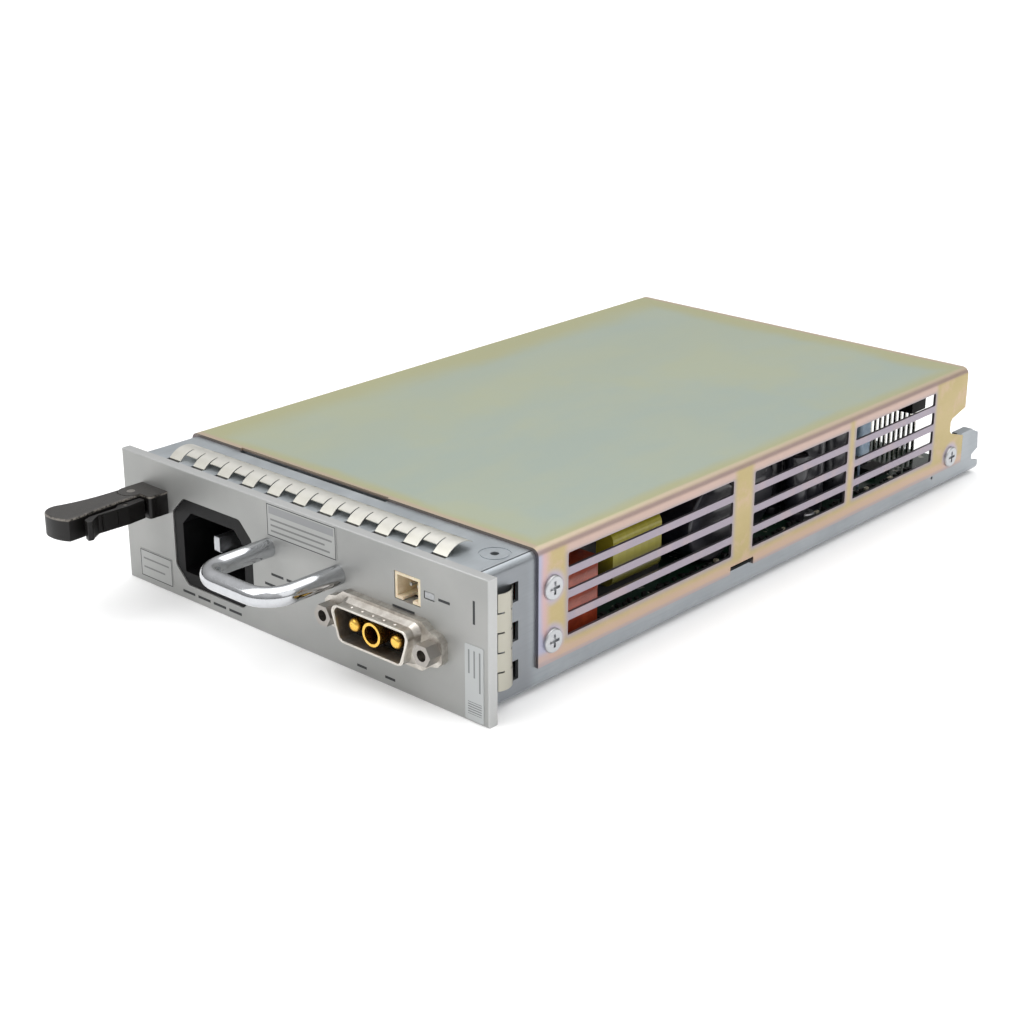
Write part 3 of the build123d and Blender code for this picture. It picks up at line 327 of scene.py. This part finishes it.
def chromate_sheet():
    """Yellow chromate over zinc.

    Its film thickens towards the bends, so grey-green turns olive, straw, pink and lilac.
    """
    finish = Finish("chromate_sheet", Metallic=0.72)
    cloud = finish.noise(0.018, 5.0, 0.55)
    wisp = finish.noise(0.05, 6.0, 0.62, (1.0, 0.45, 1.0))
    fine = finish.noise(2.4, 4.0, 0.6)
    top = finish.z.rise(35.9, 36.5)
    left_gap, right_gap = finish.x - COVER_LEFT, COVER_RIGHT - finish.x
    front_gap, rear_gap = finish.y - COVER_FRONT, COVER_REAR - finish.y
    near = left_gap.least(right_gap).least(front_gap).least(rear_gap)
    reach = (left_gap * 0.42).least(right_gap * 1.1).least(front_gap * 1.3).least(rear_gap * 0.6)
    reach = reach + (wisp - 0.5) * 7.0 + (cloud - 0.5) * 5.0
    plateau = finish.between((170, 182, 171), (175, 184, 167), wisp.rise(0.35, 0.65))
    plateau = finish.mix(cloud.rise(0.52, 0.66) * 0.45, plateau, tone(181, 185, 154))
    swath = 1 - (abs(finish.x - 26.0 - finish.y * 0.12) + (wisp - 0.5) * 22.0).rise(4.0, 26.0)
    plateau = finish.mix(swath * 0.28, plateau, tone(182, 185, 152))
    top_colour = finish.mix(1 - reach.rise(2.6, 8.0), plateau, tone(180, 180, 142))
    near = near + (wisp - 0.5) * 1.6
    top_colour = finish.mix(1 - near.rise(1.0, 2.4), top_colour, tone(190, 173, 152))
    wall = finish.between((188, 170, 128), (178, 162, 114), wisp.rise(0.3, 0.7))
    opening = None
    for front, rear in VENT_GROUPS:
        around = finish.y.within(front - 0.8, rear + 0.8, 1.4)
        opening = around if opening is None else opening.most(around)
    wall = finish.mix(opening * finish.z.within(10.9, 33.6, 1.2) * 0.92, wall, tone(154, 146, 162))
    wall = finish.mix(finish.z.within(33.4, 36.2, 0.6) * opening * 0.8, wall, tone(194, 168, 164))
    blot = finish.noise(0.11, 4.0, 0.6)
    wall = finish.mix(blot.rise(0.5, 0.66) * 0.45 * (1 - opening * 0.6), wall, tone(200, 170, 156))
    halo = None
    for y, z in SCREWS:
        spread = ((finish.y - y) * (finish.y - y) + (finish.z - z) * (finish.z - z)).math("SQRT")
        ring = 1 - (spread + (wisp - 0.5) * 2.0).rise(3.2, 5.4)
        halo = ring if halo is None else halo.most(ring)
    wall = finish.mix(halo * 0.75, wall, tone(176, 170, 196))
    front_edge = finish.y + (wisp - 0.5) * 2.4 - (1 - finish.z.rise(8.0, 17.0)) * 2.6
    wall = finish.mix(1 - front_edge.rise(22.4, 25.6), wall, tone(196, 166, 166))
    wall = finish.mix(1 - front_edge.rise(21.0, 23.0), wall, tone(170, 170, 190))
    low_edge = finish.z + (wisp - 0.5) * 1.6
    wall = finish.mix((1 - low_edge.rise(8.6, 10.6)) * 0.8, wall, tone(194, 166, 150))
    wall = finish.mix((1 - low_edge.rise(7.0, 8.0)) * 0.8, wall, tone(170, 156, 158))
    wall = finish.mix(finish.z.within(35.2, 36.4, 0.4) * 0.8, wall, tone(176, 154, 148))
    colour = finish.mix(top, wall, top_colour)
    # Painted shade: the cover's cut edges and the inner faces of its walls below the top are painted dark
    # grey.
    skin = finish.x.most(PANEL_WIDTH - finish.x).rise(COVER_RIGHT - 0.16, COVER_RIGHT - 0.05)
    shaded_cut_edge = (1 - skin) * (1 - finish.z.rise(34.4, 34.6))
    shaded_cut_edge = shaded_cut_edge.most(finish.y < COVER_FRONT + 0.04).most(finish.y > COVER_REAR - 0.04)
    colour = finish.mix(shaded_cut_edge * 0.75, colour, tone(74, 72, 76))
    colour = finish.mix(fine.rise(0.45, 0.8) * 0.08, colour, tone(226, 222, 206))
    return finish.set(Base_Color=colour, Roughness=0.34 + fine * 0.1 + cloud * 0.06,
                      Normal=finish.bump(fine, 0.01, 0.5))


def label_film():
    """Blank film for all three labels: pale paper, thin borders, a grey band and plain ruled lines."""
    finish = Finish("label_film", IOR=1.45, Coat_Weight=0.15, Coat_Roughness=0.25)
    soil = finish.noise(0.6, 5.0, 0.6)
    fibre = finish.noise(6.0, 4.0, 0.7)
    paper = finish.between((164, 165, 163), (176, 177, 175), soil * 0.6 + fibre * 0.4)
    sheet = finish.mix(finish.x > SERIAL_FILM_LEFT, paper, tone(178, 181, 181))
    sheet = finish.mix(finish.rect(*GREY_BAND) * 0.8, sheet, tone(136, 138, 140))
    small, large = (finish.frame_line(*edges, BORDER_LINE) for edges in BORDERS)
    border = small.most(large)
    rules = None
    for start, end, low in LEVEL_RULES:
        line = finish.rect(start, end, low, low + RULE_LINE)
        rules = line if rules is None else rules.most(line)
    for foot, left in UPRIGHT_RULES:
        rules = rules.most(finish.rect(left, left + RULE_LINE, foot, UPRIGHT_RULE_TOP))
    rules = rules.most(finish.rect(*STRIPED_BLOCK) * ((finish.z * 1.6).math("FRACT") < 0.5))
    sheet = finish.mix(rules * 0.6, sheet, tone(60, 62, 64))
    sheet = finish.mix(border * 0.9, sheet, tone(44, 45, 48))
    return finish.set(Base_Color=sheet, Roughness=0.42 + soil * 0.15,
                      Normal=finish.bump(fibre, 0.02, 0.4))


def lever_moulding():
    """Glass-filled nylon: near-black sides, a top painted lighter as a highlight, pale wear along the upper
    edges.
    """
    finish = Finish("lever_moulding", Specular_IOR_Level=0.35)
    fleck = finish.noise(5.0, 5.0, 0.7)
    rub = finish.noise(0.9, 6.0, 0.7)
    # Painted highlight: the top face above z 28.7 is painted lighter grey, more so where the rub noise is
    # high.
    top = finish.z.rise(28.7, 29.05)
    edge = finish.z.within(28.45, 28.95, 0.18) * rub.rise(0.35, 0.6)
    colour = finish.between((10, 9, 9), (20, 18, 17), fleck)
    colour = finish.mix(top * (0.4 + rub * 0.4), colour, tone(66, 64, 62))
    colour = finish.mix(edge * 0.7, colour, tone(146, 140, 132))
    return finish.set(Base_Color=colour, Roughness=0.3 + fleck * 0.2,
                      Normal=finish.bump(fleck, 0.04, 0.5))


def tin_plate():
    """Dull tin over steel, worn bright along its rolled mouth and stained towards the flange."""
    finish = Finish("tin_plate", Metallic=1.0)
    stain = finish.noise(0.35, 6.0, 0.65)
    fine = finish.noise(3.0, 4.0, 0.6)
    mouth = 1 - finish.y.rise(-5.9, -5.0)
    colour = finish.between((212, 208, 201), (176, 170, 162), stain.rise(0.3, 0.7))
    colour = finish.mix(mouth * 0.7, colour, tone(224, 220, 212))
    return finish.set(Base_Color=colour, Roughness=0.3 + stain * 0.18 + fine * 0.05,
                      Normal=finish.bump(fine, 0.02, 0.5))


def chrome_rod():
    """Bright chrome on a bent rod, with the faintest polishing haze."""
    finish = Finish("chrome_rod", Metallic=1.0)
    haze = finish.noise(0.7, 5.0, 0.6)
    wave = finish.noise(0.25, 3.0, 0.5)
    colour = finish.between((182, 184, 187), (206, 208, 211), haze)
    return finish.set(Base_Color=colour, Roughness=0.13 + haze.rise(0.5, 0.8) * 0.1,
                      Normal=finish.bump(wave, 0.05, 0.3))


def steel_hardware():
    """Bright zinc on the screws, a little blue, and duller warm nickel on the battery jackscrews."""
    finish = Finish("steel_hardware", Metallic=1.0)
    drift = finish.noise(0.9, 5.0, 0.6)
    fine = finish.noise(3.0, 3.0, 0.6)
    colour = finish.between((178, 180, 182), (198, 200, 203), drift * 0.7 + fine * 0.3)
    colour = finish.mix((1 - finish.y.rise(-1.6, -1.2)) * 0.85, colour, tone(158, 152, 145))
    return finish.set(Base_Color=colour, Roughness=0.28 + drift * 0.14 + fine * 0.06,
                      Normal=finish.bump(fine, 0.015, 0.5))


def finger_metal():
    """Bright plated spring strip: rolled grain along the fingers, a painted highlight on the crests and a
    warmer upright strip.
    """
    finish = Finish("finger_metal", Metallic=0.9)
    drift = finish.noise(0.4, 5.0, 0.6)
    grain = finish.noise(1.8, 4.0, 0.6, (1.0, 0.15, 0.15))
    # Painted highlight: the crests on top and along the outer side are painted near white.
    crest_highlight = finish.z.rise(37.2, 38.2).most(finish.x.rise(129.6, 130.6))
    colour = finish.between((206, 204, 195), (224, 222, 212), drift * 0.6 + grain * 0.4)
    colour = finish.mix(crest_highlight * 0.4, colour, tone(244, 243, 238))
    colour = finish.mix(finish.x.rise(127.6, 128.0) * 0.8, colour, tone(158, 155, 141))
    return finish.set(Base_Color=colour, Roughness=0.22 + drift * 0.14 + grain * 0.08,
                      Normal=finish.bump(grain, 0.015, 0.5))


def board_laminate():
    """Dark green solder mask with traces showing through and pale print."""
    finish = Finish("board_laminate", Coat_Weight=0.5, Coat_Roughness=0.15)
    trace = (finish.noise(0.35, 2.0, 0.4) * 9.0).math("FRACT")
    line = (trace > 0.5) * 0.35
    mask = finish.between((18, 44, 34), (34, 70, 50), line + finish.noise(0.1) * 0.3)
    pad = (finish.cells(0.55) > 0.93) * (finish.noise(0.9) > 0.52)
    return finish.set(Base_Color=finish.mix(pad, mask, tone(178, 176, 166)), Roughness=0.35 + line * 0.2,
                      Normal=finish.bump(trace, 0.03, 0.5))


def wound_copper():
    """Enamelled wire, a fine ridge for each turn."""
    finish = Finish("wound_copper", Metallic=0.8, Coat_Weight=0.4)
    ridge = (finish.x + finish.y * 0.6 + finish.z).math("SINE") * 0.5 + 0.5
    colour = finish.between((120, 62, 34), (176, 104, 60), ridge)
    return finish.set(Base_Color=colour, Roughness=0.25 + ridge * 0.15,
                      Normal=finish.bump(ridge, 0.15, 0.6))


def yellow_tape():
    """Polyester tape in overlapping laps with a glossy face."""
    finish = Finish("yellow_tape", Coat_Weight=0.5, Coat_Roughness=0.1)
    lap = (finish.y * 0.34 + finish.noise(0.2) * 0.3).math("FRACT")
    wrinkle = finish.noise(0.8, 5.0, 0.6, (1.0, 0.2, 1.0))
    colour = finish.between((150, 142, 26), (178, 168, 44), lap * 0.3 + wrinkle * 0.7)
    # Painted shade: the tape is painted darker olive below z 17 to 23, where the cover shades it.
    colour = finish.mix(1 - finish.z.rise(17.0, 23.0), colour, tone(92, 88, 28))
    return finish.set(Base_Color=colour, Roughness=0.3 + wrinkle * 0.2,
                      Normal=finish.bump(lap * 0.4 + wrinkle * 0.4, 0.04, 0.5))


def gold_plate():
    """Flash gold, blotchy, with painted shade in red-brown behind the bright front tips."""
    finish = Finish("gold_plate", Metallic=1.0)
    blotch = finish.noise(1.1, 4.0, 0.6)
    # Painted shade: behind the front tips, deeper in the connector, the gold is painted red-brown.
    tip = 1 - finish.y.rise(-5.2, -3.4)
    colour = finish.between((236, 178, 62), (252, 214, 120), blotch)
    colour = finish.mix((1 - tip) * 0.6, colour, tone(132, 62, 26))
    tinned = finish.y.within(199.0, 202.0, 0.2)
    colour = finish.mix(tinned * 0.9, colour, tone(214, 214, 208))
    return finish.set(Base_Color=colour, Roughness=0.18 + blotch * 0.2,
                      Normal=finish.bump(blotch, 0.06, 0.5))


FINISHES = {
    "panel_alloy": panel_alloy(),
    "zinc_sheet": zinc_sheet(),
    "chromate_sheet": chromate_sheet(),
    "label_film": label_film(),
    "lever_moulding": lever_moulding(),
    "tin_plate": tin_plate(),
    "chrome_rod": chrome_rod(),
    "board_laminate": board_laminate(),
    "wound_copper": wound_copper(),
    "yellow_tape": yellow_tape(),
    "gold_plate": gold_plate(),
    "finger_metal": finger_metal(),
    "black_moulding": plain_variation("black_moulding", (7, 7, 8), (13, 13, 14), 0.3, 0.5, 0.15, 0.03,
                                      Specular_IOR_Level=0.22),
    "steel_hardware": steel_hardware(),
    "cream_nylon": plain_variation("cream_nylon", (232, 218, 192), (214, 196, 164), 0.5, 0.42, 0.1, 0.02,
                                   Subsurface_Weight=0.1, Subsurface_Scale=0.001),
    "light_pipe": plain_variation("light_pipe", (150, 152, 154), (172, 174, 176), 1.2, 0.3, 0.1, 0.02,
                                  Coat_Weight=0.3),
    "liner_film": plain_variation("liner_film", (26, 27, 29), (38, 38, 40), 0.3, 0.5, 0.2, 0.02),
    "copper_lead": plain_variation("copper_lead", (22, 22, 24), (40, 38, 38), 0.4, 0.4, 0.1, 0.02),
    "ceramic_tube": plain_variation("ceramic_tube", (214, 206, 188), (196, 186, 164), 0.5, 0.45, 0.1, 0.02),
    "ferrite": plain_variation("ferrite", (44, 44, 47), (62, 61, 62), 0.8, 0.55, 0.2, 0.05),
    "red_epoxy": plain_variation("red_epoxy", (176, 74, 44), (146, 54, 30), 0.3, 0.35, 0.12, 0.03,
                                 Coat_Weight=0.3),
    "blue_epoxy": plain_variation("blue_epoxy", (150, 172, 190), (128, 152, 176), 0.4, 0.35, 0.12, 0.03,
                                  Coat_Weight=0.3),
    "can_sleeve": plain_variation("can_sleeve", (28, 28, 34), (44, 44, 52), 0.2, 0.3, 0.1, 0.02,
                                  Coat_Weight=0.4),
    "black_anodised": plain_variation("black_anodised", (30, 30, 32), (46, 46, 48), 0.3, 0.42, 0.12, 0.02,
                                      Metallic=0.6),
    "black_epoxy": plain_variation("black_epoxy", (24, 24, 25), (40, 39, 38), 0.8, 0.5, 0.15, 0.04),
}
SLOT_OF = {part["node"]: part["material_slot"] for part in frame["record"]["subparts"]}
for node, shape in frame["nodes"].items():
    shape.data.materials.clear()
    shape.data.materials.append(FINISHES[SLOT_OF[node]].material)


# ---- surfaces worked out on a grid ----
SHARP_FROM = 40


def surface(name, grid, finish_name, body, closed_u=False, closed_v=False, caps=False):
    """A mesh from a rows-by-columns grid of points in working millimetres.

    Each face joins a point, the next in its row and the two beside them in the next row. A closed way
    round comes back to its start, and caps close the first and last rows.
    """
    rows, columns = grid.shape[:2]
    points = (grid.reshape(-1, 3) - ORIGIN) * MM
    row = np.arange(rows if closed_u else rows - 1)[:, None]
    column = np.arange(columns if closed_v else columns - 1)[None, :]
    next_row, next_column = (row + 1) % rows, (column + 1) % columns
    quads = np.stack([row * columns + column, row * columns + next_column,
                      next_row * columns + next_column, next_row * columns + column], -1).reshape(-1, 4)
    faces = quads.tolist()
    if caps:
        faces += [list(range(columns))[::-1], list(range((rows - 1) * columns, rows * columns))]
    return finished(name, points, faces, finish_name, body)


def finished(name, points, faces, finish_name, body):
    """A visible piece from points in metres, with its finish, on the body that it moves with."""
    mesh = bpy.data.meshes.new(name)
    mesh.from_pydata(points.tolist(), [], faces)
    mesh.update()
    mesh.shade_smooth()
    mesh.set_sharp_from_angle(angle=math.radians(SHARP_FROM))
    piece = bpy.data.objects.new(name, mesh)
    bpy.context.scene.collection.objects.link(piece)
    mesh.materials.append(FINISHES[finish_name].material)
    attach(piece, body)
    return piece


def tube_along(path, radius, sides):
    """Rings about each point of a level path: centre + radius (across cos a + up sin a).

    Across is the path's direction crossed with up.
    """
    tangent = np.gradient(path, axis=0)
    tangent /= np.linalg.norm(tangent, axis=1, keepdims=True)
    up = np.array([0.0, 0.0, 1.0])
    across = np.cross(tangent, up)
    across /= np.linalg.norm(across, axis=1, keepdims=True)
    angle = np.linspace(0, 2 * np.pi, sides, endpoint=False)[None, :, None]
    return path[:, None] + radius * (across[:, None] * np.cos(angle) + up * np.sin(angle))


def closed_tube(path, radius, sides):
    """Rings about each point of a closed upright path: centre + radius (outward cos a + forward sin a).

    Outward is the path's direction crossed with forward.
    """
    tangent = np.roll(path, -1, 0) - np.roll(path, 1, 0)
    tangent /= np.linalg.norm(tangent, axis=1, keepdims=True)
    forward = np.array([0.0, 1.0, 0.0])
    outward = np.cross(tangent, forward)
    angle = np.linspace(0, 2 * np.pi, sides, endpoint=False)[None, :, None]
    return path[:, None] + radius * (outward[:, None] * np.cos(angle) + forward * np.sin(angle))


def handle_path():
    """The handle's line: out from the panel, a quarter turn, across, a quarter turn and back.

    A quarter turn is (bend (1 - cos a), -bend sin a) from its start; the far half mirrors the near one.
    """
    left, right = HANDLE_X
    quarter = np.linspace(0, np.pi / 2, 17)
    corner = -HANDLE_REACH + HANDLE_BEND
    out = np.stack([np.full(8, left), np.linspace(0, corner, 9)[:-1]], 1)
    first = np.stack([left + HANDLE_BEND * (1 - np.cos(quarter)), corner - HANDLE_BEND * np.sin(quarter)], 1)
    half = np.concatenate([out, first])
    far = half[::-1] * (-1, 1) + (left + right, 0)
    flat = np.concatenate([half, far])
    return np.column_stack([flat, np.full(len(flat), HANDLE_Z)])


def rim_path():
    """The line round the battery shell's mouth: four arcs, each its centre + radius (cos a, sin a)."""
    slant = math.atan2(MOUTH_HALF_TOP - MOUTH_HALF_LOW, 2 * MOUTH_HALF_HIGH)
    turns = (
        (MOUTH_HALF_TOP, MOUTH_HALF_HIGH, -slant, math.pi / 2),
        (-MOUTH_HALF_TOP, MOUTH_HALF_HIGH, math.pi / 2, math.pi + slant),
        (-MOUTH_HALF_LOW, -MOUTH_HALF_HIGH, math.pi + slant, 1.5 * math.pi),
        (MOUTH_HALF_LOW, -MOUTH_HALF_HIGH, -math.pi / 2, -slant),
    )
    arcs = []
    for x, z, start, end in turns:
        angle = np.linspace(start, end, 9)
        centre_x, centre_z = x - math.copysign(MOUTH_CORNER, x), z - math.copysign(MOUTH_CORNER, z)
        arcs.append(np.stack([centre_x + MOUTH_CORNER * np.cos(angle),
                              centre_z + MOUTH_CORNER * np.sin(angle)], 1))
    flat = np.concatenate(arcs)
    return np.column_stack([BATTERY_X + flat[:, 0], np.full(len(flat), RIM_Y), BATTERY_Z + flat[:, 1]])


def repeated(name, shape, places, sizes, finish_name):
    """Copies of one closed grid, each stretched by its size and moved to its place, in a single mesh."""
    rows, columns = shape.shape[:2]
    count = len(places)
    points = (shape.reshape(1, -1, 3) * sizes[:, None] + places[:, None]).reshape(-1, 3)
    row, column = np.arange(rows - 1)[:, None], np.arange(columns)[None, :]
    after = (column + 1) % columns
    quads = np.stack([row * columns + column, row * columns + after,
                      (row + 1) * columns + after, (row + 1) * columns + column], -1).reshape(-1, 4)
    rings = np.stack([np.arange(columns)[::-1], np.arange((rows - 1) * columns, rows * columns)])
    step = (np.arange(count) * rows * columns)[:, None, None]
    faces = (quads + step).reshape(-1, 4).tolist() + (rings + step).reshape(-1, columns).tolist()
    return finished(name, (points - ORIGIN) * MM, faces, finish_name, "module")


def chip_grid():
    """A soft-edged block a unit wide, drawn in a little at foot and top.

    Its outline is |2x|^p + |2y|^p = 1: half of (|cos a|^p + |sin a|^p)^(-1/p) from the centre at angle a.
    """
    sides, power = 16, 8
    angle = np.linspace(0, 2 * np.pi, sides, endpoint=False)
    reach = (np.abs(np.cos(angle)) ** power + np.abs(np.sin(angle)) ** power) ** (-1 / power) / 2
    height = np.array([0.0, 0.08, 0.88, 1.0])[:, None]
    inset = np.array([0.96, 1.0, 1.0, 0.9])[:, None]
    return np.stack([inset * reach * np.cos(angle), inset * reach * np.sin(angle),
                     np.broadcast_to(height, (len(height), sides))], -1)


def can_grid():
    """A capacitor can turned about its axis: (radius cos a, radius sin a, height) for each of its heights.

    The profile has a crimp near the foot and a rolled rim at the top.
    """
    sides = 32
    profile = np.array([(0.94, 0.0), (1.0, 0.02), (1.0, 0.1), (0.93, 0.13), (1.0, 0.16), (1.0, 0.96),
                        (0.97, 0.99), (0.9, 1.0), (0.86, 0.985)])
    angle = np.linspace(0, 2 * np.pi, sides, endpoint=False)[None, :]
    radius, height = profile[:, :1], np.broadcast_to(profile[:, 1:], (len(profile), sides))
    return np.stack([radius * np.cos(angle), radius * np.sin(angle), height], -1)


def small_part_places():
    """Places and sizes of surface-mounted parts, each a little off its lane's pitch, and which are pale."""
    chance = np.random.default_rng(7)
    lanes = []
    for x0, x1, y0, y1, pitch in PART_LANES:
        x, y = np.meshgrid(np.arange(x0, x1, pitch), np.arange(y0, y1, pitch))
        lanes.append(np.column_stack([x.ravel(), y.ravel()]))
    flat = np.concatenate(lanes)
    flat = flat + chance.uniform((-0.3, -0.9), (0.3, 0.9), flat.shape)
    sizes = chance.uniform((0.7, 0.9, 0.4), (1.4, 1.9, 1.3), (len(flat), 3))
    places = np.column_stack([flat, np.full(len(flat), BOARD_TOP)])
    return places, sizes, chance.random(len(flat)) < PALE_SHARE


# ---- the pieces ----
handle = surface("pull_handle_rod", tube_along(handle_path(), HANDLE_RADIUS, 48), "chrome_rod", "module",
                 closed_v=True, caps=True)
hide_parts("pull_handle")
surface("battery_shell_rim", closed_tube(rim_path(), RIM_RADIUS, 12), "tin_plate", "module",
        closed_u=True, closed_v=True)
part_places, part_sizes, pale = small_part_places()
repeated("chip_resistors", chip_grid(), part_places[~pale], part_sizes[~pale], "black_epoxy")
repeated("chip_capacitors", chip_grid(), part_places[pale], part_sizes[pale], "ceramic_tube")
can_places = np.array([(x, CAN_Y, BOARD_TOP) for x in CAN_X])
can_sizes = np.array([(CAN_RADIUS, CAN_RADIUS, height) for height in CAN_HEIGHTS])
repeated("standing_capacitors", can_grid(), can_places, can_sizes, "can_sleeve")


# ---- studio ----
def floor_finish():
    """Matt white with a faint drift, glowing more with its distance from the piece."""
    finish = Finish("studio_floor", Emission_Strength=1.0, Roughness=0.8)
    drift = finish.noise(0.002, 2.0, 0.5)
    away = (finish.x * finish.x + finish.y * finish.y).math("SQRT").rise(500.0, 1600.0)
    shaded = tuple(0.985 * part for part in FLOOR_COLOUR[:3]) + (1.0,)
    return finish.set(Emission_Color=finish.mix(away, FLOOR_GLOW_NEAR, FLOOR_GLOW_FAR),
                      Base_Color=finish.mix(drift, FLOOR_COLOUR, shaded))


def floor():
    """A level square of floor, far larger than the view."""
    far = FLOOR_REACH
    corners = [(-far, -far, 0), (far, -far, 0), (far, far, 0), (-far, far, 0)]
    mesh = bpy.data.meshes.new("studio_floor")
    mesh.from_pydata(corners, [], [(0, 1, 2, 3)])
    mesh.materials.append(floor_finish().material)
    plane = bpy.data.objects.new("studio_floor", mesh)
    bpy.context.scene.collection.objects.link(plane)


def softbox(name, place, aim, size, power):
    """A soft rectangular lamp that faces its aim."""
    lamp = bpy.data.lights.new(name, "AREA")
    lamp.shape = "RECTANGLE"
    lamp.size, lamp.size_y = size
    lamp.energy = power
    rig = bpy.data.objects.new(name, lamp)
    rig.location = place
    rig.rotation_euler = (Vector(aim) - rig.location).to_track_quat("-Z", "Y").to_euler()
    bpy.context.scene.collection.objects.link(rig)


def sky():
    """A white room: brightest overhead, greyer towards the walls, plain white where it is looked at."""
    world = bpy.data.worlds.new("studio")
    bpy.context.scene.world = world
    world.use_nodes = True
    tree = world.node_tree
    tree.nodes.clear()
    way = tree.nodes.new("ShaderNodeTexCoord")
    parts = tree.nodes.new("ShaderNodeSeparateXYZ")
    ramp = tree.nodes.new("ShaderNodeMapRange")
    light = tree.nodes.new("ShaderNodeBackground")
    seen = tree.nodes.new("ShaderNodeBackground")
    path = tree.nodes.new("ShaderNodeLightPath")
    either = tree.nodes.new("ShaderNodeMixShader")
    out = tree.nodes.new("ShaderNodeOutputWorld")
    ramp.inputs["From Max"].default_value = CEILING_FROM
    ramp.inputs["To Min"].default_value = WALL_LIGHT
    ramp.inputs["To Max"].default_value = CEILING_LIGHT
    seen.inputs["Strength"].default_value = 1.0
    seen.inputs["Color"].default_value = (1.0, 1.0, 1.0, 1.0)
    tree.links.new(way.outputs["Generated"], parts.inputs[0])
    tree.links.new(parts.outputs["Z"], ramp.inputs[0])
    tree.links.new(ramp.outputs[0], light.inputs["Strength"])
    tree.links.new(path.outputs["Is Camera Ray"], either.inputs[0])
    tree.links.new(light.outputs[0], either.inputs[1])
    tree.links.new(seen.outputs[0], either.inputs[2])
    tree.links.new(either.outputs[0], out.inputs["Surface"])


def camera():
    """A long lens that looks down on the front panel from its right."""
    lens = bpy.data.cameras.new("camera")
    lens.sensor_width = SENSOR
    lens.lens = LENS
    lens.clip_start = 0.01
    rig = bpy.data.objects.new("camera", lens)
    rig.location = CAMERA_PLACE
    rig.rotation_euler = (math.radians(90 - CAMERA_DROP), 0.0, math.radians(CAMERA_TURN))
    bpy.context.scene.collection.objects.link(rig)
    bpy.context.scene.camera = rig


floor()
sky()
softbox("key", place=(-0.35, -0.75, 0.95), aim=(0.0, 0.0, 0.02), size=(0.9, 0.9), power=4.9)
softbox("fill", place=(0.9, 0.1, 0.6), aim=(0.0, 0.0, 0.02), size=(0.8, 0.8), power=1.5)
softbox("overhead", place=(0.0, 0.15, 1.1), aim=(0.0, 0.05, 0.0), size=(1.4, 1.4), power=9.5)
camera()
view = bpy.context.scene.view_settings
view.view_transform = "Standard"
view.look = "None"
